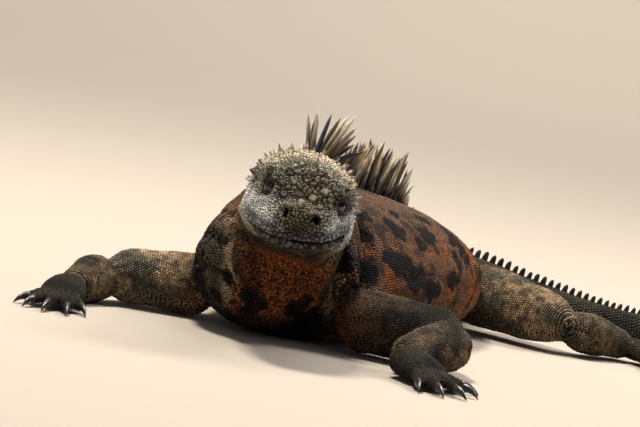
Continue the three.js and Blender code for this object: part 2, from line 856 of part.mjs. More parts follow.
for ( const { name, side, shoulder, elbow, wrist, knuckles } of arms ) {

	const upper = limbLength( shoulder, elbow, { thick: [ 17, 16.5, 15, 14.5 ], start: 10, end: 13, arch: 1 } );
	const fore = limbLength( elbow, wrist, { thick: [ 14, 13.5, 11, 9.5 ], start: 12, end: 6 } );
	const palm = { thick: [ 10, 11.5, 12.5 ], flat: [ 0.85, 0.5 ], start: 6, end: 5, arch: 1 };
	const upperGrown = limbSolid( upper, LIMB_SIDES, 2, GROWN );
	const foreGrown = limbSolid( fore, LIMB_SIDES, 2, GROWN );
	const upperArm = cut( limbSolid( upper, LIMB_SIDES, 2 ), FLOOR, trunkGrown );
	const forearm = cut( limbSolid( fore, LIMB_SIDES, 2 ), FLOOR, trunkGrown, upperGrown );
	addNode( `upper_arm_${ name }`, upperArm, COLOUR.limb );
	addNode( `forearm_${ name }`, forearm, COLOUR.limb );
	paw( {
		pad: limbLength( wrist, knuckles, palm ),
		long: side === LEFT ? [ ...FINGER_LONG ].reverse() : FINGER_LONG,
		spread: 33,
		thick: 3.9,
		clawLong: 8,
		name: `hand_${ name }`,
		cutters: [ foreGrown, upperGrown ],
	} );

}

const legs = [
	{
		name: 'left',
		side: LEFT,
		hip: vector( 24, 192, 22 ),
		knee: vector( 97, 178, 17 ),
		ankle: vector( 123, 219, 8 ),
		toes: vector( 146, 205, 5 ),
	},
	{
		name: 'right',
		side: RIGHT,
		hip: vector( - 24, 192, 22 ),
		knee: vector( - 86, 166, 17 ),
		ankle: vector( - 99, 213, 8 ),
		toes: vector( - 116, 192, 5 ),
	},
];

for ( const { name, side, hip, knee, ankle, toes } of legs ) {

	const thigh = limbLength( hip, knee, { thick: [ 19, 18.5, 16.5, 14 ], start: 12, end: 12, arch: 1.5 } );
	const shin = limbLength( knee, ankle, { thick: [ 13.5, 12.5, 10, 8.5 ], start: 11, end: 6 } );
	const sole = { thick: [ 9, 9.5, 11.5 ], flat: [ 0.85, 0.45 ], start: 6, end: 5, arch: 1 };
	const thighGrown = limbSolid( thigh, LIMB_SIDES, 2, GROWN );
	const shinGrown = limbSolid( shin, LIMB_SIDES, 2, GROWN );
	const upperLeg = cut( limbSolid( thigh, LIMB_SIDES, 2 ), FLOOR, trunkGrown );
	const lowerLeg = cut( limbSolid( shin, LIMB_SIDES, 2 ), FLOOR, trunkGrown, thighGrown );
	addNode( `thigh_${ name }`, upperLeg, COLOUR.limb );
	addNode( `shin_${ name }`, lowerLeg, COLOUR.limb );
	paw( {
		pad: limbLength( ankle, toes, sole ),
		long: side === LEFT ? [ ...TOE_LONG ].reverse() : TOE_LONG,
		spread: 36,
		thick: 3.6,
		clawLong: 8,
		name: `foot_${ name }`,
		cutters: [ shinGrown, thighGrown ],
	} );

}

export default iguana;
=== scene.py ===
# %% [markdown]
# # A marine iguana at rest
# This is a still model of a marine iguana, such as a museum shows. A sculptor would cast a soft body and
# set hard parts in it, and this script does the same: one skin takes the place of all the CAD nodes of
# flesh, and scales, crest spines, claws and eyes are solid meshes of their own on it. The frame of the
# CAD part comes first, because everything that follows is placed by it.

# %% Frame
import math
import bpy
import numpy as np
from mathutils import Matrix, Vector, kdtree
from mathutils.bvhtree import BVHTree


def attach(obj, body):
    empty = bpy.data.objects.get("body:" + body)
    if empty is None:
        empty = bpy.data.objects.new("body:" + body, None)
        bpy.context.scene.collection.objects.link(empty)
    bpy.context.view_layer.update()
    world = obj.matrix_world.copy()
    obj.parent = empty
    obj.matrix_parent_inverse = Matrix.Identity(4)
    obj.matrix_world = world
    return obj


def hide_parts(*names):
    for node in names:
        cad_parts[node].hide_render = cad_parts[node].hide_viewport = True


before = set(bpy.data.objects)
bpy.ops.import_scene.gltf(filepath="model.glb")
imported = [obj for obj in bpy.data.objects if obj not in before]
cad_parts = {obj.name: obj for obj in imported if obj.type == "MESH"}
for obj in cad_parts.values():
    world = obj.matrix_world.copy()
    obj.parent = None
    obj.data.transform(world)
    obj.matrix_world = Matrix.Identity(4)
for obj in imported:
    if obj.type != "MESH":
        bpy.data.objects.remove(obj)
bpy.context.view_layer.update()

# %% [markdown]
# ## Units and small helpers
# Sizes below are in millimetres, as on a drawing of the animal, and a mesh gets them in metres at the
# last moment. Nothing on an animal is quite even, so lumps and blotches come from smooth noise. A
# texture could do that, but noise on a hashed lattice gives the same lumps each time, and the skin and
# its scales can share them.

# %% Helpers
MM = 0.001
UP = np.array([0.0, 0.0, 1.0])
LEFT = 1
RIGHT = -1
draw = np.random.default_rng(7)


def unit(v):
    return v / np.maximum(np.linalg.norm(v, axis=-1, keepdims=True), 1e-9)


def smoothstep(low, high, x):
    t = np.clip((x - low) / (high - low), 0, 1)
    return t * t * (3 - 2 * t)


def bump(gap, radius):
    """A soft mound: 1 in the middle, 0 from the radius on."""
    return 1 - smoothstep(0, radius, np.abs(gap))


def distance(points, place):
    return np.linalg.norm(points - place, axis=1)


def steps_of(line):
    """Lengths of the steps along a line of points."""
    return np.linalg.norm(np.diff(line, axis=0), axis=1)


def length_of(line):
    return steps_of(line).sum()


def run_of(line):
    """How far along the line each of its points is."""
    return np.r_[0, np.cumsum(steps_of(line))]


def noise(points, size, seed=0):
    """Smooth values from -1 to 1 that change over about this size in mm."""
    p = points / size + seed * 7.31
    cell = np.floor(p).astype(np.int64)
    f = p - cell
    f = f * f * (3 - 2 * f)
    total = np.zeros(len(p))
    for corner in range(8):
        step = np.array([corner & 1, corner >> 1 & 1, corner >> 2 & 1])
        c = cell + step
        h = c[:, 0] * 73856093 ^ c[:, 1] * 19349663 ^ c[:, 2] * 83492791
        h = (h ^ h >> 13) * 1274126177
        value = ((h ^ h >> 16) & 0xFFFF) / 32767.5 - 1
        total += value * np.prod(np.where(step, f, 1 - f), axis=1)
    return total


def vertices(piece):
    co = np.empty(len(piece.data.vertices) * 3)
    piece.data.vertices.foreach_get("co", co)
    return co.reshape(-1, 3) / MM


def move_vertices(piece, co):
    piece.data.vertices.foreach_set("co", (co * MM).ravel())
    piece.data.update()


def normals(piece):
    out = np.empty(len(piece.data.vertices) * 3)
    piece.data.vertex_normals.foreach_get("vector", out)
    return out.reshape(-1, 3)


def only(*pieces):
    """Select these pieces and nothing else."""
    bpy.ops.object.select_all(action="DESELECT")
    for piece in pieces:
        piece.select_set(True)
    bpy.context.view_layer.objects.active = pieces[0]


def unit_sphere(segments, ring_count):
    """A new sphere of radius 1, and its vertices in that measure."""
    bpy.ops.object.select_all(action="DESELECT")
    bpy.ops.mesh.primitive_uv_sphere_add(segments=segments, ring_count=ring_count, radius=1)
    piece = bpy.context.object
    return piece, vertices(piece) * MM


def face_outwards(piece):
    only(piece)
    bpy.ops.object.mode_set(mode="EDIT")
    bpy.ops.mesh.select_all(action="SELECT")
    bpy.ops.mesh.normals_make_consistent(inside=False)
    bpy.ops.object.mode_set(mode="OBJECT")


def apply_modifier(piece, kind, **sizes):
    only(piece)
    modifier = piece.modifiers.new(kind.title(), kind)
    for key, value in sizes.items():
        setattr(modifier, key, value)
    bpy.ops.object.modifier_apply(modifier=modifier.name)


print("noise over 9 mm:", noise(np.array([[0.0, 0, 0], [3, 0, 0], [6, 0, 0], [9, 0, 0]]), 5).round(2))

# %% [markdown]
# ## Stretches of flesh
# An animal's body reads well as a few stretches along curves: head, neck, trunk, tail, and the parts of
# each limb. A body could be sculpted freely, but stretches are measured: each has stations along its
# curve, and a section there is two half ovals, one over and one under the widest level. The same
# stretches with the same sizes make the CAD nodes, so the skin fits the nodes by construction.

# %% Stretches along a curve
def bezier(*places, steps=240):
    """Points along a Bezier curve from the first of these places to the last."""
    t = np.linspace(0, 1, steps + 1)[:, None]
    level = [np.array(p, float)[None] for p in places]
    while len(level) > 1:
        level = [a * (1 - t) + b * t for a, b in zip(level, level[1:])]
    return level[0]


def size_between(stations, key, at):
    """A size at places between stations, smooth and without overshoot."""
    xs = np.array([s["at"] for s in stations], float)
    ys = np.array([s[key] for s in stations], float)
    rise = np.diff(ys) / np.diff(xs)
    slope = np.r_[rise[0], np.zeros(len(rise) - 1), rise[-1]]
    both = rise[:-1] * rise[1:]
    middle = both > 0
    slope[1:-1][middle] = 2 * both[middle] / (rise[:-1] + rise[1:])[middle]
    at = np.clip(at, xs[0], xs[-1])
    i = np.clip(np.searchsorted(xs, at) - 1, 0, len(rise) - 1)
    span = xs[i + 1] - xs[i]
    t = (at - xs[i]) / span
    a, b, sa, sb = ys[i], ys[i + 1], slope[i] * span, slope[i + 1] * span
    return a + t * sa + t * t * (3 * (b - a) - 2 * sa - sb) + t**3 * (2 * (a - b) + sa + sb)


class Flesh:
    """A stretch of the body: a curve on the floor's plan, and sections at stations along it."""

    def __init__(self, name, route, stations, turn=None, round_start=0, round_end=0):
        self.name = name
        self.route = route
        self.stations = stations
        self.turn = turn or (lambda at: 0 * at)
        self.round_start = round_start
        self.round_end = round_end
        self.along = run_of(route)
        self.length = self.along[-1]
        self.tangent = unit(np.gradient(route, self.along, axis=0))

    def size(self, key, at):
        return size_between(self.stations, key, at)

    def frame(self, at):
        """Centre, way ahead, side and top at places along the curve."""
        at = np.atleast_1d(np.asarray(at, float))
        inside = np.clip(at, 0, self.length)
        ahead = unit(np.stack([np.interp(inside, self.along, t) for t in self.tangent.T], 1))
        centre = np.stack([np.interp(inside, self.along, c) for c in self.route.T], 1)
        side = unit(np.cross(UP, ahead))
        top = np.cross(ahead, side)
        centre += ahead * (at - inside)[:, None] + top * self.size("level", at)[:, None]
        c = np.cos(np.radians(self.turn(at)))[:, None]
        s = np.sin(np.radians(self.turn(at)))[:, None]
        return centre, ahead, side * c + top * s, top * c - side * s

    def points(self, at, angle, grow=0.0):
        """Points of the surface. Angle 0 is the animal's side, 90 its back line, 270 its belly line."""
        at, angle = np.broadcast_arrays(np.atleast_1d(np.asarray(at, float)), np.asarray(angle, float))
        centre, _, side, top = self.frame(at)
        c = np.cos(np.radians(angle))
        s = np.sin(np.radians(angle))
        upper = s >= 0
        power = 2 / np.where(upper, self.size("square_above", at), self.size("square_below", at))
        start = np.clip(at / self.round_start, 0, 1) if self.round_start else 1
        end = np.clip((self.length - at) / self.round_end, 0, 1) if self.round_end else 1
        closing = np.sqrt(1 - (1 - start) ** 2) * np.sqrt(1 - (1 - end) ** 2)
        wide = self.size("wide", at) * closing + grow
        reach = np.where(upper, self.size("above", at), self.size("below", at)) * closing + grow
        across = np.sign(c) * np.abs(c) ** power * wide
        high = np.sign(s) * np.abs(s) ** power * reach
        return centre + side * across[:, None] + top * high[:, None]


print("a curve in 4 steps:", bezier((0, 0, 0), (1, 2, 0), (2, 0, 0), steps=4).round(2).tolist())

# %% [markdown]
# ## The animal's own sizes
# An adult male is about 350 mm from snout to vent, with a blunt head, a deep throat pouch and a trunk
# that spreads on the ground when it rests. The sizes could be read off the CAD meshes, but these are the
# CAD model's driving sizes, written once more because this script reads only the frame. Heights of neck,
# trunk and tail are given over the floor: where the widest level is, the back line and the belly line.

# %% Head, neck, trunk and tail
HEAD_YAW = math.radians(27)
HEAD_ROLL = 6
HEAD_CENTRE = np.array([33.4, -72.5, 70.0])
SKULL_BACK = 26
SNOUT_LENGTH = 56.5
EYE_RADIUS = 5.4
SHOULDER_Y = -14
TAIL_BASE_Y = 228
NECK_EASE = 14

forward = np.array([math.sin(HEAD_YAW), -math.cos(HEAD_YAW), 0])
skull_back = HEAD_CENTRE * [1, 1, 0] - forward * SKULL_BACK


def stations(rows, keys, **same):
    """Stations from rows of numbers under these keys, with what is the same at all of them."""
    return [{**dict(zip(keys, row)), **same} for row in rows]


def standing(rows):
    """Stations from rows of place, half width, widest level, back line, belly line and squareness twice."""
    keys = ("at", "wide", "level", "above", "below", "square_above", "square_below")
    return [dict(zip(keys, (at, wide, level, top - level, level - low, *square)))
            for at, wide, level, top, low, *square in rows]


head = Flesh(
    "head", bezier(skull_back, skull_back + forward * SNOUT_LENGTH),
    stations(
        [(0, 25.2, 27, 28), (8, 27, 29.5, 23), (18, 27.4, 31, 19), (28, 25.8, 29, 17), (37, 23.5, 23.5, 16),
         (45, 20, 16.5, 15.5), (51, 16.5, 10.5, 14), (54.5, 12.5, 6.5, 12), (SNOUT_LENGTH, 7, 2.5, 8.5)],
        ("at", "wide", "above", "below"), level=HEAD_CENTRE[2], square_above=2.2, square_below=2.3),
    turn=lambda at: 0 * at - HEAD_ROLL,
)
shoulder = np.array([0, SHOULDER_Y, 0.0])
neck_route = bezier(shoulder, shoulder - [0, NECK_EASE, 0], skull_back - forward * NECK_EASE, skull_back)
NECK_LENGTH = length_of(neck_route)
# where two stretches meet, both have this ring: half width, levels and squareness
SHOULDER_RING = (47, 32, 87, 0.5, 1.45, 2.3)
neck = Flesh(
    "neck", neck_route,
    standing([
        (0, *SHOULDER_RING),
        (NECK_LENGTH * 0.35, 38, 41, 90, 5, 1.5, 2.1),
        (NECK_LENGTH * 0.65, 30, 54, 93, 9, 1.8, 2),
        (NECK_LENGTH * 0.85, 27, 64, 96, 18, 2, 2.1),
        (NECK_LENGTH, 26.5, 70, 97, 42, 2.2, 2.3),
    ]),
    turn=lambda at: -HEAD_ROLL * smoothstep(0, NECK_LENGTH, at),
)
TAIL_RING = (23, 20, 42, -0.6, 2, 2.2)
trunk = Flesh(
    "trunk", bezier([0, SHOULDER_Y, 0], [0, TAIL_BASE_Y, 0]),
    standing([
        (y - SHOULDER_Y, *ring) for y, *ring in [
            (SHOULDER_Y, *SHOULDER_RING),
            (8, 54, 32, 85.5, -1.6, 1.5, 2.3),
            (40, 60, 32, 82, -2, 1.6, 2.3),
            (80, 62, 33, 77, -2, 1.8, 2.3),
            (115, 60, 34, 71, -2, 2, 2.3),
            (145, 53, 33, 62, -1.5, 2.1, 2.3),
            (175, 41, 28, 52, -1, 2.1, 2.3),
            (205, 30, 23, 46, -0.8, 2, 2.2),
            (TAIL_BASE_Y, *TAIL_RING),
        ]
    ]),
)
tail_bend = [112, 278, 0]
tail_route = np.concatenate([
    bezier([0, TAIL_BASE_Y, 0], [0, 258, 0], [70, 250, 0], tail_bend),
    bezier(tail_bend, [196, 334, 0], [250, 440, 0], [392, 452, 0])[1:],
])
TAIL_LENGTH = length_of(tail_route)
tail = Flesh(
    "tail", tail_route,
    standing([(0, *TAIL_RING)] + [
        (at, wide, top * 0.45, top, -0.6, 2, 2.2) for at, wide, top in [
            (25, 18, 38), (60, 13.5, 31), (110, 10.5, 24), (180, 8, 20), (300, 5.5, 15), (410, 3.6, 10),
            (TAIL_LENGTH - 8, 2, 5), (TAIL_LENGTH, 1, 2.6),
        ]
    ]),
)
print("lengths in mm:", *(f"{flesh.name} {flesh.length:.1f}" for flesh in (head, neck, trunk, tail)))


# %% [markdown]
# ## Limbs, fingers and toes
# A limb is an upper and a lower length of flesh with rounded ends, then a flat pad. Fingers and toes fan
# out from the pad's middle and arch down to the floor, where each ends in a claw. Each could be placed
# by hand, but a fan worked out from the pad keeps hands and feet alike on both sides.

# %% Limbs
def oval(at, wide, tall):
    """Stations with plain oval sections, as high over the middle as under it."""
    return stations(zip(at, wide, tall, tall), ("at", "wide", "above", "below"),
                    level=0, square_above=2, square_below=2)


def limb_length(name, start, end, thick, flat=(1, 1), round_start=0, round_end=0, arch=0):
    """A length of limb, thick as listed from start to end, and flattened by these shares."""
    start, end = np.array(start, float), np.array(end, float)
    route = bezier(start, (start + end) / 2 + UP * 2 * arch, end)
    share = np.linspace(0, 1, len(thick))
    tall = np.array(thick) * np.interp(share, [0, 1], flat)
    return Flesh(name, route, oval(share * length_of(route), thick, tall), None, round_start, round_end)


def turned(way, degrees):
    """A way turned about the vertical."""
    c, s = math.cos(math.radians(degrees)), math.sin(math.radians(degrees))
    return np.array([way[0] * c - way[1] * s, way[0] * s + way[1] * c, way[2]])


DIGIT_TIP_Z = 3
DIGIT_ARCH = 0.14
# thickness of a finger or toe from its root over the knuckles to its tip
DIGIT_SHARES = np.array([1, 0.88, 0.92, 0.68])


def digits_of(pad, name, lengths, spread, thick):
    """Fingers or toes that fan out from a pad, the outer ones turned by the spread in degrees."""
    centre, ahead, side, _ = (a[0] for a in pad.frame(pad.length - pad.round_end * 0.6))
    heading = unit(ahead * [1, 1, 0])
    made = []
    for i, long in enumerate(lengths):
        turn = -spread + 2 * spread * i / (len(lengths) - 1)
        root = centre + side * math.sin(math.radians(turn)) * pad.size("wide", pad.length) * 0.9
        tip = root + turned(heading, turn) * long
        tip[2] = DIGIT_TIP_Z
        middle = root * 0.4 + tip * 0.6
        middle[2] = DIGIT_TIP_Z + DIGIT_ARCH * long
        route = bezier(root, middle, tip)
        widths = DIGIT_SHARES * thick
        at = np.linspace(0, length_of(route), len(widths))
        made.append(Flesh(f"{name}_{i + 1}", route, oval(at, widths, widths), round_start=thick))
    return made


FINGERS = [15, 21, 25, 24, 17]
TOES = [16, 24, 32, 38, 24]
FINGER_SPREAD, FINGER_THICK = 33, 3.9
TOE_SPREAD, TOE_THICK = 36, 3.6
# places of shoulder, elbow, wrist and middle of the hand, then of hip, knee, ankle and middle of the foot
limbs = {}
for name, a, b, c, d in [
    ("left", (38, -8, 17), (101, 3, 17), (87, -44, 9), (110, -57, 6)),
    ("right", (-38, -4, 17), (-91, -32, 14), (-88, -68, 9), (-82, -89, 6)),
]:
    pad = limb_length(f"hand_{name}", c, d, [10, 11.5, 12.5], (0.85, 0.5), 6, 5, 1)
    fingers = FINGERS[::-1] if name == "left" else FINGERS
    limbs[f"arm_{name}"] = [
        limb_length(f"upper_arm_{name}", a, b, [17, 16.5, 15, 14.5], (1, 1), 10, 13, 1),
        limb_length(f"forearm_{name}", b, c, [14, 13.5, 11, 9.5], (1, 1), 12, 6),
        pad, *digits_of(pad, f"hand_{name}", fingers, FINGER_SPREAD, FINGER_THICK),
    ]
for name, a, b, c, d in [
    ("left", (24, 192, 22), (97, 178, 17), (123, 219, 8), (146, 205, 5)),
    ("right", (-24, 192, 22), (-86, 166, 17), (-99, 213, 8), (-116, 192, 5)),
]:
    pad = limb_length(f"foot_{name}", c, d, [9, 9.5, 11.5], (0.85, 0.45), 6, 5, 1)
    toes = TOES[::-1] if name == "left" else TOES
    limbs[f"leg_{name}"] = [
        limb_length(f"thigh_{name}", a, b, [19, 18.5, 16.5, 14], (1, 1), 12, 12, 1.5),
        limb_length(f"shin_{name}", b, c, [13.5, 12.5, 10, 8.5], (1, 1), 11, 6),
        pad, *digits_of(pad, f"foot_{name}", toes, TOE_SPREAD, TOE_THICK),
    ]
body = [head, neck, trunk, tail]
all_flesh = body + [flesh for limb in limbs.values() for flesh in limb]
print("stretches of flesh", len(all_flesh))


# %% [markdown]
# ## One skin
# A real skin has no seam where a limb meets the trunk. The stretches could be cut and stitched by hand,
# but a voxel remesh fuses them by itself: each stretch starts as a sphere whose rings are laid along its
# curve, the remesh makes one closed skin of all of them, and smoothing lets shoulders and hips flow into
# the trunk. The skin lies under the nodes' faces by the depth of the scales that will cover it.

# %% Rings laid along the curves
COAT_DEPTH = 0.7


def lay_flesh(flesh, places, sides):
    """A closed piece with a ring of vertices at each of these places along a stretch."""
    piece, co = unit_sphere(sides, len(places) + 1)
    row = np.rint(np.arccos(np.clip(co[:, 2], -1, 1)) / math.pi * (len(places) + 1)).astype(int)
    angle = np.degrees(np.arctan2(co[:, 1], co[:, 0]))
    at = np.array([places[0], *places, places[-1]])[row]
    laid = flesh.points(at, np.rint(angle * sides / 360) * 360 / sides, -COAT_DEPTH)
    poles = (row == 0) | (row == len(places) + 1)
    laid[poles] = flesh.frame(at[poles])[0]
    move_vertices(piece, laid)
    face_outwards(piece)
    return piece


def rounded_places(flesh, inner):
    """Places of rings along a limb, close together where its ends round off."""
    turns = np.array([0.03, 0.15, 0.4, 0.7])
    places = np.linspace(flesh.round_start, flesh.length - max(flesh.round_end, 0.5), inner)
    if flesh.round_start:
        places = np.r_[turns * flesh.round_start, places]
    if flesh.round_end:
        places = np.r_[places, flesh.length - turns[::-1] * flesh.round_end]
    return places


OVERLAP = 2
SNOUT_RINGS = [51.5, 53, 54.5, 55.6, 56.2]
LIMB_SIDES, DIGIT_SIDES = 28, 16
VOXEL = 1.95
rough = [
    lay_flesh(head, np.r_[np.linspace(-OVERLAP, 50, 26), SNOUT_RINGS], 48),
    lay_flesh(neck, np.linspace(-OVERLAP, NECK_LENGTH + OVERLAP, 26), 48),
    lay_flesh(trunk, np.linspace(-OVERLAP, trunk.length + OVERLAP, 60), 64),
    lay_flesh(tail, np.linspace(-OVERLAP, TAIL_LENGTH - 0.5, 110), 28),
]
for limb in limbs.values():
    rough += [lay_flesh(flesh, rounded_places(flesh, 9), LIMB_SIDES if i < 3 else DIGIT_SIDES)
              for i, flesh in enumerate(limb)]
only(*rough)
bpy.ops.object.join()
skin = bpy.context.object
skin.name = skin.data.name = "iguana_skin"
apply_modifier(skin, "REMESH", mode="VOXEL", voxel_size=VOXEL * MM, adaptivity=0)
apply_modifier(skin, "SMOOTH", factor=0.5, iterations=4)
print("fused skin", len(skin.data.vertices), "vertices")


# %% [markdown]
# ## Softer joints
# On the animal, muscle and loose skin fill the corner where a limb leaves the trunk, and the bends of
# elbow, knee and wrist. Here two round stretches meet in a sharp valley. Finer stretches could be
# modelled between them, but more smoothing only around those places does the same in four lines.

# %% Smooth the joints
def end_of(flesh):
    """The middle of the last section of a stretch."""
    return flesh.frame(flesh.length)[0][0]


def near(co, places, radius):
    """A weight for each point: 1 at these places, fading to 0 at the radius."""
    weight = np.zeros(len(co))
    for place in places:
        weight = np.maximum(weight, bump(distance(co, place), radius))
    return weight


def soften(piece, name, weight, iterations):
    """Smooth a piece where this weight says so."""
    group = piece.vertex_groups.new(name=name)
    for i in np.flatnonzero(weight > 0.02):
        group.add([int(i)], float(weight[i]), "REPLACE")
    apply_modifier(piece, "SMOOTH", factor=0.5, iterations=iterations, vertex_group=name)


co = vertices(skin)
roots = [limb[0].points(limb[0].length * 0.3, [0, 90, 180, 270]).mean(0) for limb in limbs.values()]
bends = [end_of(limb[0]) for limb in limbs.values()]
wrists = [end_of(limb[1]) for limb in limbs.values()]
for name, places, radius, weight, iterations in [
    ("roots", roots, 34, 1, 26), ("elbows", bends[:2], 30, 1, 28), ("knees", bends[2:], 36, 1, 44),
    ("wrists", wrists, 21, 0.9, 20),
]:
    soften(skin, name, near(co, places, radius) * weight, iterations)
skin.vertex_groups.clear()

# %% [markdown]
# ## Finer where the eye looks
# Eyelids, nostrils, lips and fingers are the finest forms of the animal, so head and paws need smaller
# faces than the trunk. A finer remesh would make the whole skin heavy. Subdividing only there keeps it
# light, and the face around eyes, nostrils and mouth is subdivided once more for the lids and the lips.

# %% Head measures
HEAD_ORIGIN = head.frame(0)[0][0]
HEAD_AXES = np.stack([a[0] for a in head.frame(0)[1:]])
# places of the paired features, and lines in side view as pairs of place along and height
EYE = {"at": 37.5, "out": 14.8, "up": 10.3}
NOSTRIL = {"at": 55.4, "out": 7.3, "up": 2}
MOUTH_LINE = [(62, -10.8), (55, -10.2), (47, -8.6), (40, -7), (34, -5.8), (31.5, -5.6)]
JAW_LINE = [(31.5, -5.6), (28, -7.5), (21, -16), (16, -30)]
MOUTH_SLANT = 0.14


def in_head(points):
    """Places along the head, to its left and up, from the back of the skull at the widest level."""
    return (points - HEAD_ORIGIN) @ HEAD_AXES.T


def at_mouth(at, left, up):
    """Places in side view, with the slant of the jaws taken out, to compare with the mouth line."""
    return np.column_stack([at, up - MOUTH_SLANT * left])


def head_point(at, left, up):
    """The point at a place along the head, to its left and up."""
    return HEAD_ORIGIN + np.array([at, left, up]) @ HEAD_AXES


def one_of(pair, sign, ahead=0.0):
    """The place of the eye or the nostril on one side, or of a point this far ahead of it."""
    return head_point(pair["at"] + ahead, sign * pair["out"], pair["up"])


def subdivide_where(piece, inside):
    """Subdivide the faces whose vertices all pass a test of their places."""
    only(piece)
    mesh = piece.data
    loops = np.empty(len(mesh.loops), int)
    mesh.loops.foreach_get("vertex_index", loops)
    starts = np.empty(len(mesh.polygons), int)
    mesh.polygons.foreach_get("loop_start", starts)
    chosen = np.logical_and.reduceat(inside(vertices(piece))[loops], starts)
    bpy.ops.object.mode_set(mode="EDIT")
    bpy.ops.mesh.select_mode(type="FACE")
    bpy.ops.mesh.select_all(action="DESELECT")
    bpy.ops.object.mode_set(mode="OBJECT")
    mesh.polygons.foreach_set("select", chosen)
    bpy.ops.object.mode_set(mode="EDIT")
    bpy.ops.mesh.subdivide(number_cuts=1, smoothness=0.8)
    bpy.ops.object.mode_set(mode="OBJECT")


FINE_ROUND_HAND, FINE_ROUND_FOOT = 34, 46


def on_head(co):
    at, _, up = in_head(co).T
    return (at > -2) & (up > -34 + 0.3 * at)


def on_paw(co):
    return np.any([distance(co, end_of(limb[2])) < (FINE_ROUND_FOOT if "leg" in name else FINE_ROUND_HAND)
                   for name, limb in limbs.items()], axis=0)


def on_face(co):
    at, left, up = in_head(co).T
    side = np.abs(left)
    eye = np.hypot(at - EYE["at"], up - EYE["up"]) < 9
    mouth = (at > 28) & (np.abs(up + 8) < 8)
    nose = (at > 50) & (up > -14)
    return (at > 20) & ((eye & (side > 12)) | mouth | nose)


subdivide_where(skin, lambda co: on_head(co) | on_paw(co))
subdivide_where(skin, on_face)
apply_modifier(skin, "SMOOTH", factor=0.4, iterations=2)
print("refined skin", len(skin.data.vertices), "vertices")

# %% [markdown]
# ## Whose skin is it
# Folds, scales and colours differ from neck to tail and from arm to hand, so each point has to know the
# stretch that it belongs to. The fused skin has lost that. Painted groups could bring it back, but it is
# surer to ask: each point takes the nearest sample of the stretches as its owner, with its place along
# the stretch and its angle around it.

# %% Owners
SAMPLE_STEP, SAMPLE_TURN = 2.5, 7.5
samples = []
for index, flesh in enumerate(all_flesh):
    ats = np.linspace(0.02, 0.98, max(8, int(flesh.length / SAMPLE_STEP))) * flesh.length
    grid_at, grid_angle = (g.ravel() for g in np.meshgrid(ats, np.arange(0, 360, SAMPLE_TURN)))
    surface = flesh.points(grid_at, grid_angle, -COAT_DEPTH)
    samples.append(np.column_stack([surface, np.full(len(surface), index), grid_at, grid_angle]))
samples = np.concatenate(samples)


def tree_of(points):
    """A search tree that finds the nearest of these points."""
    tree = kdtree.KDTree(len(points))
    for i, point in enumerate(points):
        tree.insert(point, i)
    tree.balance()
    return tree


sample_tree = tree_of(samples[:, :3])


def owners(points):
    """Owner, place along it and angle around it for each point."""
    found = samples[[sample_tree.find(p)[1] for p in points]]
    return found[:, 3].astype(int), found[:, 4], found[:, 5]


index_of = {flesh.name: i for i, flesh in enumerate(all_flesh)}
# the part of a limb that each stretch is: 0 upper, 1 lower, 2 pad, 3 and on digits, and -1 for the body
LIMB_PART = np.array([-1] * len(body) + [part for limb in limbs.values() for part in range(len(limb))])
print("samples", len(samples))


# %% [markdown]
# ## Folds and creases
# Loose skin folds where it bends: long folds hang down the throat, crowd in front of the shoulders and
# run along the flanks, and short creases cross elbows, wrists and knees. Cloth could be simulated for
# this, but its folds can't be placed. A fold here is a wave over the surface, with wide backs and narrow
# valleys, pushed in along the normal just where the photo shows one.

# %% Fold the skin
def folds(phase):
    """A wave with broad backs and narrow valleys, 0 on the backs and -1 in the valleys."""
    return -(1 - np.abs(np.sin(phase))) ** 2.2


def to_line(points, line):
    """Distance to a line of points, and on which side of it: above it is positive."""
    best = np.full(len(points), 1e9)
    side = np.zeros(len(points))
    for a, b in zip(line, line[1:]):
        a, b = np.array(a, float), np.array(b, float)
        way = b - a
        t = np.clip((points - a) @ way / (way @ way), 0, 1)
        gap = points - a - t[:, None] * way
        d = np.linalg.norm(gap, axis=1)
        nearer = d < best
        best = np.where(nearer, d, best)
        side = np.where(nearer, np.sign(gap[:, 1]), side)
    return best, side


# the deep crease behind the right edge of the throat pouch, in mm
POUCH_CREASE = [(33, 5, 74), (38, 2, 60), (42, -4, 49), (47, -8, 38), (51, -14, 27)]


def wobble_of(co):
    """Lets folds run crooked."""
    return noise(co, 14, 3) * 0.9 + noise(co, 6, 4) * 0.35


def throat_phase(co, angle):
    """Phase of the throat's folds: broad ones in the middle, narrow ones at the sides."""
    off_middle = np.abs((co - HEAD_ORIGIN) @ HEAD_AXES[1])
    crowd = 14 * np.radians(off_middle - 18) * (off_middle > 18)
    return np.radians(angle) * 8 + crowd + wobble_of(co) * 1.2


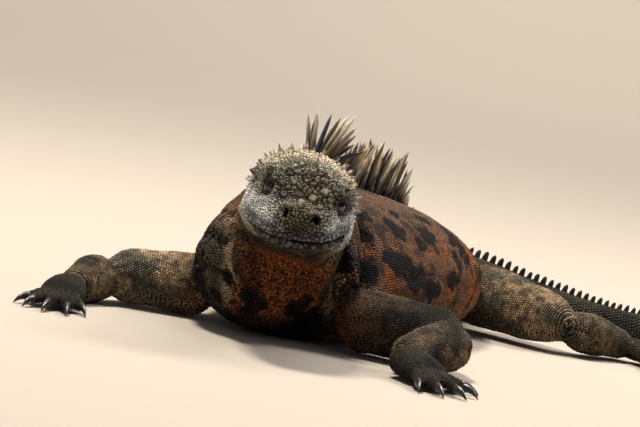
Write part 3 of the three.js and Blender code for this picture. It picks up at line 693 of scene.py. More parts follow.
def fold_skin(piece):
    co, out = vertices(piece), normals(piece)
    owner, at, angle = owners(co)
    x, y, z = co.T
    push = np.zeros(len(co))
    wobble = wobble_of(co)
    before_tail = owner < index_of["tail"]

    # throat: long folds, short cross folds, and the crease behind the pouch
    on_neck = owner == index_of["neck"]
    share = np.clip(at / NECK_LENGTH, 0, 1)
    low = smoothstep(80, 60, z)
    throat = on_neck * low * smoothstep(0.02, 0.25, share) * smoothstep(1.0, 0.8, share)
    push += 2.4 * throat * folds(throat_phase(co, angle))
    push += 0.7 * throat * folds(at / 4.5 + wobble * 1.5)
    crease, _ = to_line(co, POUCH_CREASE)
    push += before_tail * (1.4 * np.exp(-((crease - 7) / 3.2) ** 2) - 4.2 * np.exp(-(crease / 3.0) ** 2))

    # folds that crowd in front of the shoulders
    before_arm = np.exp(-((y + 16 - 0.15 * (z - 40)) / 15) ** 2) * smoothstep(24, 40, np.abs(x))
    before_arm = before_arm * smoothstep(6, 22, z) * smoothstep(82, 62, z) * before_tail
    push += 2.4 * before_arm * folds((y + 0.45 * np.abs(x)) / 3.4 + wobble)

    # folds along the flanks, and slow lumps over all of the body
    flank = (owner == index_of["trunk"]) * smoothstep(15, 45, at) * smoothstep(225, 190, at)
    flank = flank * smoothstep(70, 45, z)
    push += 0.9 * flank * folds(z / 4.6 + y / 60 + wobble * 1.1)
    push += 0.45 * before_tail * noise(co, 11, 9)

    # muscle under the skin of the limbs, with folds where they leave the trunk
    long_limb = np.isin(LIMB_PART[owner], (0, 1))
    push += long_limb * (0.9 * noise(co, 15, 11) + 0.35 * noise(co, 6, 12))
    push += 0.8 * long_limb * smoothstep(26, 8, at) * folds(np.radians(angle) * 3 + wobble * 1.2)

    # jowls behind the jaw
    sideways = np.abs(np.cos(np.radians(angle)))
    jowl = bump(at - 0.88 * NECK_LENGTH, 14) * on_neck * smoothstep(0.3, 0.8, sideways)
    push += 2.6 * jowl * smoothstep(88, 74, z)

    # creases across elbows, knees, wrists and ankles
    for limb in limbs.values():
        for flesh, nearby in zip(limb[:2], limb[1:3]):
            joint, ahead, _, _ = (a[0] for a in flesh.frame(flesh.length))
            way = unit(ahead + nearby.frame(0)[1][0])
            along = (co - joint) @ way
            close = bump(distance(co, joint), 24)
            push += 1.1 * close * folds(along / 2.6 + wobble * 0.5) * np.exp(-(along / 7) ** 2)
    quiet = smoothstep(-4, 4, in_head(co)[:, 0]) * (in_head(co)[:, 2] > -20)
    move_vertices(piece, co + out * (push * (1 - quiet))[:, None])


fold_skin(skin)
print("folded")


# %% [markdown]
# ## The face
# The head of a marine iguana is a blunt wedge. Ridges run from the brows to the nostrils, the eyes lie
# in hollows under the brows, the nostrils open on a knob over the lip, and the mouth curves back and up
# to below the eyes. A sculptor would press and build up clay. Here each form is a soft mound or hollow
# at a place in the head's own measures, so that it can be checked against the photo by number.

# %% Shape the face
# ridges of the face: height, half width, and a line of places along, to the side and up
FACE_RIDGES = [
    (2.9, 4.4, [(24, 19, 19), (33, 18.5, 17.5), (42, 15, 14.5)]),
    (1.2, 3.4, [(42, 15, 14.5), (48, 12, 10), (54, 9, 5)]),
    (1.5, 2.8, [(43, 17, 15.5), (47.5, 15.2, 10.5), (52, 13, 5)]),
]


def shape_face(piece):
    co, out = vertices(piece), normals(piece)
    here = in_head(co)
    at, left, up = here.T
    side = np.abs(left)
    fade = smoothstep(-6, 4, at)
    push = np.zeros(len(co))
    # brow ridges over the eyes, running on to the nostrils
    for high, half, line in FACE_RIDGES:
        push += high * bump(to_line(np.column_stack([at, side, up]), line)[0], half)
    # hollow between the ridges, and the hollow in front of and under each eye
    push -= 0.9 * bump(np.hypot(at - 47, side * 0.9), 9) * (up > 4)
    push -= 2.7 * bump(np.hypot((at - 43.5) / 0.8, (up - 9) / 1.3), 5) * smoothstep(15, 18, side)
    push -= 1.2 * bump(np.hypot((at - 46) / 1.2, up - 2), 5) * (side > 13)
    push += 1.0 * bump(np.hypot((at - 33) / 1.6, up - 0.5), 5) * (side > 14)
    # jowls and temples
    push += 1.6 * bump(np.hypot(at - 13, up + 7), 13) * (side > 14)
    push -= 0.9 * bump(np.hypot(at - 20, up - 8), 8) * (side > 14)
    # snout: a knob round each nostril, and a bridge between them
    for sign in (LEFT, RIGHT):
        push += 1.1 * bump(distance(here, (54.5, sign * 8, 3)), 5.5)
    push += 0.8 * bump(distance(here, (53, 0, 6)), 5)
    # lips on both sides of the mouth line, the crease behind the jaw
    mouth, over = to_line(at_mouth(at, left, up), MOUTH_LINE)
    front = smoothstep(29, 36, at)
    push += front * np.where(over > 0, 0.9, 1.1) * np.exp(-((mouth - 2.6) / 1.5) ** 2)
    crease, _ = to_line(at_mouth(at, left, up), JAW_LINE)
    push -= 1.1 * bump(crease, 2.6) * (side > 10)
    # small lumps everywhere
    brow = smoothstep(8, 14, up) * smoothstep(30, 36, at)
    push += (0.45 + 0.5 * brow) * noise(co, 5, 21) + 0.25 * noise(co, 2.4, 22)
    co = co + out * (push * fade)[:, None]
    move_vertices(piece, co)

    out = normals(piece)
    at, left, up = in_head(co).T
    mouth, _ = to_line(at_mouth(at, left, up), MOUTH_LINE)
    co = co - out * (1.5 * smoothstep(28, 33, at) * np.exp(-(mouth / 0.55) ** 2))[:, None]
    for sign in (LEFT, RIGHT):
        co = cut_nostril(co, out, sign)
        co = set_lids(co, sign)
    move_vertices(piece, co)


NOSTRIL_DEEP = 4.2
# half width and half height, rounder on the side that the head turns to the photo
NOSTRIL_HALF = {LEFT: (1.75, 1.85), RIGHT: (1.3, 2.1)}


def cut_nostril(co, out, sign):
    """Sink a round hole with a raised rim where the skin is nearest to the nostril's place."""
    close = np.argmin(distance(co, one_of(NOSTRIL, sign)))
    way = unit(out[distance(co, co[close]) < 3].mean(0))
    gap = co - co[close]
    flat = gap - (gap @ way)[:, None] * way
    across = flat @ HEAD_AXES[1]
    high = flat @ HEAD_AXES[2]
    d = np.hypot(across / NOSTRIL_HALF[sign][0], high / NOSTRIL_HALF[sign][1])
    near_by = np.abs(gap @ way) < 5
    rim = 0.8 * np.exp(-((d - 1.45) / 0.4) ** 2)
    hole = -NOSTRIL_DEEP * np.sqrt(np.clip(1 - d**2, 0, 1))
    return co + way * ((rim + hole) * near_by)[:, None]


# the lids: thickness, and half length and half height of the skin that they take in
LID = 0.9
LIDS_LONG, LIDS_HIGH = 8.5, 7.5
# the slit between them: half length, half height, and how far under the middle of the eye it lies
SLIT_LONG, SLIT_HIGH, SLIT_DOWN = 4.5, 2.3, 0.3


def set_lids(co, sign):
    """Press the skin round an eye to a ball a little over the eyeball, and inside the slit behind it."""
    centre = one_of(EYE, sign)
    gap = co - centre
    ahead, left, up = (gap @ HEAD_AXES.T).T
    outward = left * sign
    reach = np.linalg.norm(gap, axis=1)
    ring = np.hypot(ahead / LIDS_LONG, (up - 0.3) / LIDS_HIGH)
    inside = (outward > 0) & (ring < 1) & (reach < 14)
    open_here = np.clip(1 - (ahead / SLIT_LONG) ** 2, 0.02, 1)
    slit = np.abs(up + SLIT_DOWN + 0.03 * ahead**2) / (SLIT_HIGH * open_here)
    lid = EYE_RADIUS + LID + 0.25 * np.sin(np.clip(ring, 0, 0.8) * 24)
    lid = lid + 0.35 * bump(slit - 1.35, 0.5)
    target = np.where(slit < 1, EYE_RADIUS - 0.9, lid)
    blend = smoothstep(1.0, 0.72, ring) * inside
    return centre + gap * (1 + blend * (target / reach - 1))[:, None]


shape_face(skin)
co = vertices(skin)
co[:, 2] = np.maximum(co[:, 2], 0)
move_vertices(skin, co)
print("skin", len(skin.data.vertices), "vertices, faces", len(skin.data.polygons))

# %% [markdown]
# ## Where each point of the skin is
# Scales and colours need exact places. The owner comes from the samples, then the place along the
# stretch and the angle around it are worked out from the stretch's own frame. A chart lets the colours of
# the coat be baked to a flat map, like a hide spread out: it unrolls every stretch into its own box of a
# square, where each scale is a small patch at its root's place. Blender's unwrap could do it too, but it
# would cut the skin elsewhere after each change.

# %% Places and chart
def places_of(points):
    """Owner, exact place along it, angle around it and way ahead for each point."""
    owner, at, _ = owners(points)
    angle = np.zeros(len(points))
    way = np.zeros((len(points), 3))
    for index in np.unique(owner):
        flesh, mine = all_flesh[index], owner == index
        centre, ahead, _, _ = flesh.frame(at[mine])
        at[mine] = np.clip(at[mine] + ((points[mine] - centre) * ahead).sum(1), 0, flesh.length)
        centre, ahead, side, top = flesh.frame(at[mine])
        gap = points[mine] - centre
        across = (gap * side).sum(1) / flesh.size("wide", at[mine])
        high = (gap * top).sum(1)
        high = high / np.where(high > 0, flesh.size("above", at[mine]), flesh.size("below", at[mine]))
        angle[mine] = np.degrees(np.arctan2(high, across)) % 360
        way[mine] = ahead
    return owner, at, angle, way


# boxes of head, neck, trunk and tail on the chart: left, low, wide, tall
chart_boxes = {0: (0, 0.84, 1, 0.16), 1: (0, 0.72, 1, 0.12), 2: (0, 0.46, 1, 0.26), 3: (0, 0.34, 1, 0.12)}
for column, limb in enumerate(limbs.values()):
    left = column / 4
    for row, (low, tall) in enumerate([(0.21, 0.13), (0.1, 0.11), (0.05, 0.05)]):
        chart_boxes[all_flesh.index(limb[row])] = (left, low, 0.25, tall)
    for digit in range(5):
        chart_boxes[all_flesh.index(limb[3 + digit])] = (left + digit * 0.05, 0, 0.05, 0.05)
chart_boxes = np.array([chart_boxes[i] for i in range(len(all_flesh))])
lengths = np.array([flesh.length for flesh in all_flesh])
# half the width of a scale's patch on the chart
PATCH = 0.0015


def chart(owner, at, angle):
    """Where points with this owner, place and angle are on the chart."""
    u0, v0, wide, tall = chart_boxes[owner].T
    u = u0 + PATCH + (wide - 2 * PATCH) * (angle / 360)
    v = v0 + PATCH + (tall - 2 * PATCH) * np.clip(at / lengths[owner], 0, 1)
    return np.column_stack([u, v])


print("chart of", len(chart_boxes), "boxes")


# %% [markdown]
# ## Colours by name
# The head is grey with salt-white cheeks, because the salt that the animal sneezes out dries on it, and
# has a tan crown and dark lips. The throat is orange with black blotches, the trunk rust brown with black
# blotches in rows, the limbs are olive black, and the tail is nearly black. A model maker mixes a few
# paints first, and so does this cell, with the places of the blotches that tell one animal from another,
# and of a few black spots of painted shade in the crease behind the throat pouch.

# %% Paints and blotches
def hue(r, g, b):
    """A colour given as screen values 0 to 255, turned linear."""
    c = np.array([r, g, b]) / 255
    return np.where(c <= 0.04045, c / 12.92, ((c + 0.055) / 1.055) ** 2.4)


def mix(a, b, share):
    """Paint b over paint a, covering this share of it at each point."""
    return a + (b - a) * share[:, None]


def region(owner, names):
    """Which points belong to the stretches with these names."""
    return np.isin(owner, [index_of[name] for name in names])


OLIVE = hue(108, 104, 88)
SALT = hue(170, 171, 166)
TAN = hue(178, 156, 124)
CROWN = hue(178, 164, 140)
MOSS = hue(64, 54, 32)
LIP = hue(44, 43, 48)
INK = hue(22, 19, 18)
ORANGE = hue(118, 62, 20)
RUST = hue(82, 54, 36)
UMBER = hue(68, 53, 40)
BUFF = hue(108, 90, 68)
SLATE = hue(54, 50, 40)
SHADOW_BLUE = hue(42, 43, 42)

# the radius that turns an angle round the trunk into a height on its flank
FLANK_RADIUS = 46
# black blotches of the flanks: place back from the shoulder, angle up, half length, half height
FLANK_BLOTCHES = [
    (51, 43, 7, 6), (85, 40, 8.5, 8), (121, 35, 9, 12), (70, 33, 5, 4), (36, 19, 11, 6.5), (51, 11, 13, 7.5),
    (66, 3, 13, 6.5), (93, 9, 8, 5), (106, 23, 5, 6), (150, 38, 9, 8), (172, 30, 10, 7), (146, 12, 11, 6),
    (28, 50, 6, 4), (66, 57, 6, 3.5), (101, 56, 7, 3.5), (138, 58, 7, 3.5), (194, 24, 9, 5),
]
# black blotches of the throat and the shoulders: place and radius. The three from (40, 2, 60) to (48, -13,
# 30) follow the crease behind the throat pouch and are painted shade in it
THROAT_BLOTCHES_AND_CREASE_SHADE = [
    (6, -50, 21, 8), (25, -35, 19, 9), (18, -18, 8, 17), (37, -15, 46, 5.5), (-3, -50, 14, 7),
    (-15, -47, 18, 6), (-33, -37, 24, 10), (-36, -24, 40, 9), (-34, -14, 20, 14), (40, 2, 60, 6),
    (44, -6, 44, 8), (48, -13, 30, 8), (40, -24, 14, 9), (-8, -52, 30, 4),
]


# how light the lengths of the limbs are painted: their own tone together with painted light and shade, which
# is why the two sides differ so much
LIMB_TONE_AND_SHADE = np.ones(len(all_flesh))
for name, tone in [
    ("upper_arm_left", 0.5), ("upper_arm_right", 2.9), ("forearm_left", 1.35), ("forearm_right", 1.3),
    ("thigh_left", 2.6), ("thigh_right", 2), ("shin_left", 1.6), ("shin_right", 1.4),
]:
    LIMB_TONE_AND_SHADE[index_of[name]] = tone
print("blotches", len(FLANK_BLOTCHES) + len(THROAT_BLOTCHES_AND_CREASE_SHADE))


# %% [markdown]
# ## Markings of the body
# Pigment lies in layers in the animal's skin, and a painter lays them one over another too. Each layer
# here is a function that mixes a paint over the colour below, with its share worked out from where a
# point lies. Some layers also lay painted shade into folds and creases, under the chin and over the
# shoulders. An image would be tied to one unwrap, but these functions answer for any point, so the
# skin, its scales and its spines all agree.

# %% Layers of the body
class Spots:
    """Points with the measures that their colours are worked out from."""

    def __init__(self, points, owner, at, angle):
        self.points, self.owner, self.at, self.angle = points, owner, at, angle
        self.x, self.y, self.z = points.T
        self.along, self.left, self.up = in_head(points).T
        self.side = np.abs(self.left)
        self.top = np.clip(np.sin(np.radians(angle)), 0, 1)
        self.fine = noise(points, 3.2, 41) * 0.5 + 0.5
        self.wide = noise(points, 11, 42) * 0.5 + 0.5
        self.on_neck, self.on_trunk, self.on_tail = (owner == index_of[n] for n in ("neck", "trunk", "tail"))
        self.before_tail = owner < index_of["tail"]
        self.share = np.clip(at / NECK_LENGTH, 0, 1)


def blotches(p):
    """How black neck and trunk are: blotches with ragged edges, and painted shade along the crease behind the
    throat pouch.
    """
    wave = noise(p.points, 9, 30) * 0.4 + noise(p.points, 4.5, 31) * 0.4 + noise(p.points, 2.2, 32) * 0.3
    flank = np.where(p.angle > 270, p.angle - 360, np.where(p.angle > 90, 180 - p.angle, p.angle))
    spot = np.zeros(len(p.points))
    for place, turn, long, tall in FLANK_BLOTCHES:
        d = np.hypot((p.at - place) / long, np.radians(flank - turn) * FLANK_RADIUS / tall)
        spot = np.maximum(spot, p.on_trunk * smoothstep(1.15, 0.85, d + wave))
    # throat and shoulder blotches, with painted shade along the crease behind the pouch
    for *place, radius in THROAT_BLOTCHES_AND_CREASE_SHADE:
        d = distance(p.points, place) / radius
        spot = np.maximum(spot, p.before_tail * smoothstep(1.2, 0.75, d + wave))
    return spot


def neck_over(colour, p):
    """Orange throat between buff sides with ragged black marks, and painted shade in the valleys of its
    folds, under the chin, low down by the floor, on the outer side and over the shoulders.
    """
    under = smoothstep(72, 50, p.z) * smoothstep(0.1, 0.4, p.share)
    middle = smoothstep(-22, -14, p.left) * smoothstep(31, 22, p.left)
    colour = mix(colour, BUFF * 2, 0.9 * p.on_neck * (1 - middle) * under)
    colour = mix(colour, ORANGE * 0.85 + BUFF * 0.2, p.on_neck * middle * under)
    # painted shade low on the right side of the neck
    outer_shade = p.on_neck * smoothstep(-7, -15, p.x) * smoothstep(66, 48, p.z) * smoothstep(-66, -54, p.y)
    colour = mix(colour, SHADOW_BLUE, 0.85 * outer_shade)
    # painted shade in the valleys of the throat's folds
    fold_valley_shade = smoothstep(0.62, 0.2, np.abs(np.sin(throat_phase(p.points, p.angle))))
    colour = mix(colour, INK, 0.8 * p.on_neck * under * (1 - 0.5 * middle) * fold_valley_shade)
    ragged = smoothstep(0.3, 0.45, noise(p.points * [1, 1, 0.55], 8.5, 43))
    colour = mix(colour, INK, 0.8 * p.on_neck * ragged * smoothstep(80, 62, p.z))
    # painted shade low down on the neck, near the floor
    colour = mix(colour, INK * 1.1, 0.9 * p.on_neck * smoothstep(20, 9, p.z))
    # painted shadow under the chin
    jaw_shadow = smoothstep(0.7, 0.88, p.share) * smoothstep(60, 55, p.z) * smoothstep(43, 50, p.z)
    colour = mix(colour, INK * 1.1, 0.85 * p.on_neck * jaw_shadow)
    # painted shade over both shoulders, in patches
    shoulder = np.exp(-((p.y + 24) / 17) ** 2) * smoothstep(22, 36, np.abs(p.x)) * p.before_tail
    patchy = smoothstep(-0.5, 0.0, noise(p.points, 9, 44))
    return mix(colour, SHADOW_BLUE * 0.9, 0.85 * shoulder * patchy)


def trunk_over(colour, p):
    """Buff edge of the belly, orange streaks behind the shoulders, black mottling and blotches, and painted
    shade along the crease behind the throat pouch.
    """
    colour = mix(colour, BUFF * 0.8, 0.6 * p.on_trunk * smoothstep(26, 10, p.z))
    streak = p.on_trunk * smoothstep(0.25, 0.5, noise(p.points * [1, 1, 0.3], 4.5, 45))
    behind = 0.3 * smoothstep(60, 110, p.at) + 0.5 * bump(p.at - 128, 14)
    colour = mix(colour, ORANGE * 1.05, behind * streak * smoothstep(0.8, 0.4, p.top))
    mottled = p.on_trunk * smoothstep(0.2, 0.42, noise(p.points * [1, 1, 0.7], 6.5, 49))
    colour = mix(colour, INK * 1.3, 0.75 * mottled * smoothstep(0.95, 0.75, p.top))
    return mix(colour, INK * 0.35, 0.97 * blotches(p))


def tail_over(colour, p):
    """Slate with black bands, which sets in over the hips."""
    dark = p.on_tail * (0.5 + 0.5 * smoothstep(0, 55, p.at)) + 0.75 * p.on_trunk * smoothstep(160, 240, p.at)
    band = smoothstep(-0.15, 0.3, np.sin(p.at / 7.5 + noise(p.points, 14, 46) * 1.2))
    return mix(colour, mix(SLATE * 0.8, INK, 0.55 * band), dark)


def limbs_over(colour, p):
    """Buff and slate limbs with dark flecks, darker hands and feet, each length lighter or darker by painted
    light and shade, and a soft change to the trunk.
    """
    part = LIMB_PART[p.owner]
    paw = part >= 2
    shade = mix(BUFF * 0.52, SLATE * 0.75, smoothstep(0.15, 0.75, p.wide))
    shade = mix(shade, BUFF * 0.75, 0.6 * smoothstep(0.6, 0.8, p.fine) * smoothstep(0.7, 0.3, p.wide))
    shade = mix(shade, INK * 1.3, 0.7 * smoothstep(0.45, 0.2, p.fine) * (1 - paw))
    shade = mix(shade, SLATE * 0.45, 0.85 * paw)
    root = (part == 0) * smoothstep(30, 6, p.at)
    # each length of limb made lighter or darker: its own tone together with painted light and shade
    return mix(colour, shade * LIMB_TONE_AND_SHADE[p.owner][:, None], (part >= 0) * (1 - 0.75 * root))


BODY_LAYERS = (neck_over, trunk_over, tail_over, limbs_over)
print("layers:", *(layer.__name__ for layer in BODY_LAYERS))


# %% [markdown]
# ## Markings of the head
# The head is where the eye goes first: olive scales crusted with salt, dark worm-like lines between
# them, a tan crown and dark lips, with painted shade in the hollows of the forehead, round the eyes, in
# the mouth line and in the nostrils, and a painted shadow under the chin. They are more layers of the
# same kind, laid in the head's own measures, so that they stay with the forms that they belong to.

# %% Layers of the head
RUSTY_SHIELD = (35.8, 9.2, 23)
# places of painted shade in hollows of the forehead: along, left and up
HOLLOW_SHADE_SPOTS = [(51.1, -10.4, 9.3), (49, -3.3, 11.1), (44.5, -19, 10.5), (44.5, 18, 11.5)]


def skull_paint(p):
    """Olive and moss, salt on the cheeks and in flecks, dark lines, tan crown and darker brows."""
    skull = mix(OLIVE, MOSS, 0.5 * smoothstep(0.4, 0.75, p.wide))
    cheek = smoothstep(9, 15, p.side) * smoothstep(12, 2, p.up) * smoothstep(-13, -7, p.up)
    skull = mix(skull, SALT, 0.92 * cheek * smoothstep(-0.2, 0.35, p.fine))
    knob = np.exp(-(np.hypot(p.along - 47, p.left) / 9) ** 2) * (p.up > 5)
    skull = mix(skull, SALT, 0.45 * smoothstep(0.62, 0.8, p.fine) * (p.up > -8) * (1 - knob))
    worms = smoothstep(0.2, 0.02, np.abs(noise(p.points, 1.9, 48)))
    skull = mix(skull, INK * 1.6, (0.7 - 0.25 * cheek) * worms * (p.up > -8))
    skull = mix(skull, CROWN, 0.7 * smoothstep(15, 23, p.up) * smoothstep(34, 24, p.along))
    skull = mix(skull, UMBER * 0.8, 0.7 * smoothstep(20, 12, p.along) * smoothstep(8, 18, p.up))
    skull = mix(skull, RUST * 1.4, 0.6 * bump(distance(p.points, head_point(*RUSTY_SHIELD)), 5))
    skull = mix(skull, TAN, 0.3 * knob)
    return mix(skull, skull * 0.6, smoothstep(5, 10, p.up) * smoothstep(33, 39, p.along))


def face_over(skull, p):
    """Painted shade in the hollows of the forehead and round the eyes, and a dark bridge between the
    nostrils.
    """
    # painted shade in the hollows of the forehead
    for hollow in HOLLOW_SHADE_SPOTS:
        gap = distance(p.points, head_point(*hollow))
        skull = mix(skull, SLATE * 0.35, 0.8 * smoothstep(5.2, 2.4, gap))
    between = np.exp(-(p.left / 7) ** 2) * smoothstep(5, 1, p.up) * smoothstep(-9, -6, p.up) * (p.along > 44)
    skull = mix(skull, MOSS * 0.95, 0.8 * between)
    # painted shade in the hollow round each eye, under the brow
    from_eye = distance(np.column_stack([p.along, p.side, p.up]), (EYE["at"], EYE["out"] + 4, EYE["up"]))
    return mix(skull, INK, 0.75 * smoothstep(8.5, 4.5, from_eye))


def jaws_over(skull, p):
    """Dark lips, painted shade in the mouth line between them, a painted shadow under the chin, orange under
    the jaw, and painted shade inside the nostrils.
    """
    mouth, over = to_line(at_mouth(p.along, p.left, p.up), MOUTH_LINE)
    lips = smoothstep(15, 22, p.along) * smoothstep(7.8, 4.2, mouth + 0.8 * (p.fine - 0.5))
    skull = mix(skull, LIP, 0.85 * lips * np.where(over > 0, 0.85, 1))
    # painted shade in the mouth line between the lips
    skull = mix(skull, INK * 0.5, smoothstep(1.0, 0.4, mouth) * smoothstep(28, 33, p.along))
    back_cheek = smoothstep(24, 12, p.along) * smoothstep(2, -10, p.up)
    skull = mix(skull, mix(BUFF, INK, smoothstep(0.4, 0.7, p.wide)), 0.75 * back_cheek)
    # painted shadow under the chin
    chin_shadow = smoothstep(-12, -14.2, p.up - MOUTH_SLANT * p.left) * smoothstep(24, 14, p.side)
    skull = mix(skull, mix(INK, MOSS * 0.7, smoothstep(0.55, 0.8, p.fine)), 0.93 * chin_shadow)
    under_jaw = smoothstep(-20, -25, p.up) * smoothstep(30, 20, p.along)
    skull = mix(skull, ORANGE * 0.7, 0.85 * under_jaw)
    # painted shade inside the nostrils
    for sign in (LEFT, RIGHT):
        hole = distance(p.points, one_of(NOSTRIL, sign, -1)) - 0.8
        skull = mix(skull, INK * 0.12, smoothstep(2.4, 1.5, hole))
    return skull


print("dark hollows", len(HOLLOW_SHADE_SPOTS))


# %% [markdown]
# ## The painter
# All layers together give the colour of a point. It is stored on the vertices, with a second value that
# says how near a point is to the tip of its scale, for the painted highlight and shade of the scales. The
# skin itself shows only in the gaps between scales and is painted darker there as painted shade, as the
# soft skin between the scales lies in shadow.

# %% Paint the skin
# how dark the skin between the scales is painted: painted shade, lighter on neck and head
SKIN_SHADE, SKIN_SHADE_IN_FRONT = 0.45, 0.65


def marking(points, owner, at, angle):
    """The base colour, linear, at each point."""
    p = Spots(points, owner, at, angle)
    colour = mix(RUST, UMBER, 0.75 * smoothstep(0.35, 0.95, p.top))
    colour = mix(colour, ORANGE, 0.5 * smoothstep(0.55, 0.8, p.wide) * smoothstep(0.7, 0.3, p.top))
    for layer in BODY_LAYERS:
        colour = layer(colour, p)
    skull = jaws_over(face_over(skull_paint(p), p), p)
    on_skull = (owner == index_of["head"]) * smoothstep(-3, 6, p.along)
    neck_blend = p.on_neck * smoothstep(0.82, 1.0, p.share) * 0.6
    colour = mix(colour, skull, np.maximum(on_skull, neck_blend))
    return np.clip(colour * (0.86 + 0.28 * p.fine)[:, None], 0, 1)


def paint(mesh, colours, tips):
    """Store a colour and a height share at each vertex, from which the material paints a highlight on tips
    and shade at roots.
    """
    rgba = np.column_stack([colours, np.ones(len(colours))])
    layer = mesh.color_attributes.new("marking", "FLOAT_COLOR", "POINT")
    layer.data.foreach_set("color", rgba.astype(np.float32).ravel())
    mesh.attributes.new("tip", "FLOAT", "POINT").data.foreach_set("value", tips.astype(np.float32))


skin_co = vertices(skin)
skin_place = places_of(skin_co)
shade = np.where(region(skin_place[0], ["neck", "head"]), SKIN_SHADE_IN_FRONT, SKIN_SHADE)
paint(skin.data, marking(skin_co, *skin_place[:3]) * shade[:, None], np.zeros(len(skin_co)))
print("painted skin")

# %% [markdown]
# ## Roots of the scales
# Scales stand in rows around each stretch, each row set half a step from the last, as on the animal. A
# scale texture would repeat and stay flat, so each scale gets a root of its own: rows of points around
# the stretches, moved to the nearest point of the finished skin. Roots that land too close to one
# another, where two stretches meet, are dropped, and what stays bare gets roots of its own.

# %% Rows of roots
ROW = math.sqrt(3) / 2
ROOT_REACH = 4.5
skin_out = normals(skin)
skin_faces = [tuple(p.vertices) for p in skin.data.polygons]
skin_bvh = BVHTree.FromPolygons(skin_co.tolist(), skin_faces)
face_normal = np.array([skin_out[list(f)].mean(0) for f in skin_faces])
face_centre = np.array([skin_co[list(f)].mean(0) for f in skin_faces])
face_area = np.array([p.area for p in skin.data.polygons]) / MM**2


def snapped(points, reach):
    """Places and normals of the points that find skin within reach, moved to it."""
    found = [f for f in (skin_bvh.find_nearest(p, reach) for p in points.tolist()) if f[2] is not None]
    return np.array([f[0][:] for f in found]), unit(face_normal[[f[2] for f in found]])


def rows_on(flesh, step):
    """Staggered rows of points around a stretch, this step apart."""
    fine = np.arange(0, 361, 2.0)
    rows = []
    for row, at in enumerate(np.arange(step / 2, flesh.length, step * ROW)):
        ring = flesh.points(at, fine, -COAT_DEPTH)
        run = run_of(ring)
        count = int(run[-1] / step)
        if count > 3:
            want = (np.arange(count) + 0.5 * (row % 2)) * run[-1] / count
            rows.append(np.column_stack([np.interp(want, run, c) for c in ring.T]))
    return np.concatenate(rows)


def apart(points, room):
    """Keep points, first come first served, that have this much room to those kept before."""
    cell = float(room.max())
    grid = {}
    kept = []
    spread = [(a, b, c) for a in (-1, 0, 1) for b in (-1, 0, 1) for c in (-1, 0, 1)]
    for i, ((x, y, z), r) in enumerate(zip(points.tolist(), room.tolist())):
        key = (int(x // cell), int(y // cell), int(z // cell))
        crowded = False
        for a, b, c in spread:
            for px, py, pz, pr in grid.get((key[0] + a, key[1] + b, key[2] + c), ()):
                gap = 0.5 * (r + pr)
                if (px - x) ** 2 + (py - y) ** 2 + (pz - z) ** 2 < gap * gap:
                    crowded = True
                    break
            if crowded:
                break
        if not crowded:
            kept.append(i)
            grid.setdefault(key, []).append((x, y, z, r))
    return np.array(kept)


def random_on_skin(mask, count):
    """Seeded points spread evenly over the faces of the skin that pass."""
    chosen = np.flatnonzero(mask)
    share = face_area[chosen] / face_area[chosen].sum()
    face = draw.choice(chosen, count, p=share)
    corner = np.array([skin_faces[f][:3] + (skin_faces[f][-1],) for f in face])
    quad = skin_co[corner]
    a, b = draw.random((2, count, 1))
    place = (quad[:, 0] * (1 - a) + quad[:, 1] * a) * (1 - b) + (quad[:, 3] * (1 - a) + quad[:, 2] * a) * b
    return place, unit(face_normal[face])


# step from scale to scale on head, neck, trunk and tail, then on the parts of each limb
step_of = np.array([2.0, 1.4, 1.4, 2.0] + [1.45, 1.3, 1.25, 1.15, 1.15, 1.15, 1.15, 1.15] * len(limbs))
rows = [snapped(rows_on(flesh, step), ROOT_REACH) for flesh, step in list(zip(all_flesh, step_of))[1:]]
root_co, root_out = map(np.concatenate, zip(*rows))
root_owner = places_of(root_co)[0]
print("rows give", len(root_co), "roots")

# %% [markdown]
# ## Sizes of the scales
# Scales are smallest on the fingers and largest on the belly and on top of the head, where each shield
# has a place of its own. Roots closer to each other than the size asks for are dropped. The body's rows
# stay as they are. On the head the sizes change from place to place, so rows would break up. Its roots
# are drawn at random first and then moved to the middle of what each one holds.

# %% Sizes and the head's shields
UNDER_STEP = 1.45


def on_floor(place, out):
    """Where the animal lies on the floor, and no scale would show."""
    return (place[:, 2] < 1.1) & (out[:, 2] < -0.6)


def body_step(place, out, owner):
    """Step from scale to scale: larger under the body, a little smaller where the neck meets the head."""
    step = step_of[owner] * np.where(out[:, 2] < -0.45, UNDER_STEP, 1)
    fade = smoothstep(28, 8, distance(place, HEAD_ORIGIN) * 0.5)
    return step * (1 - 0.08 * fade)


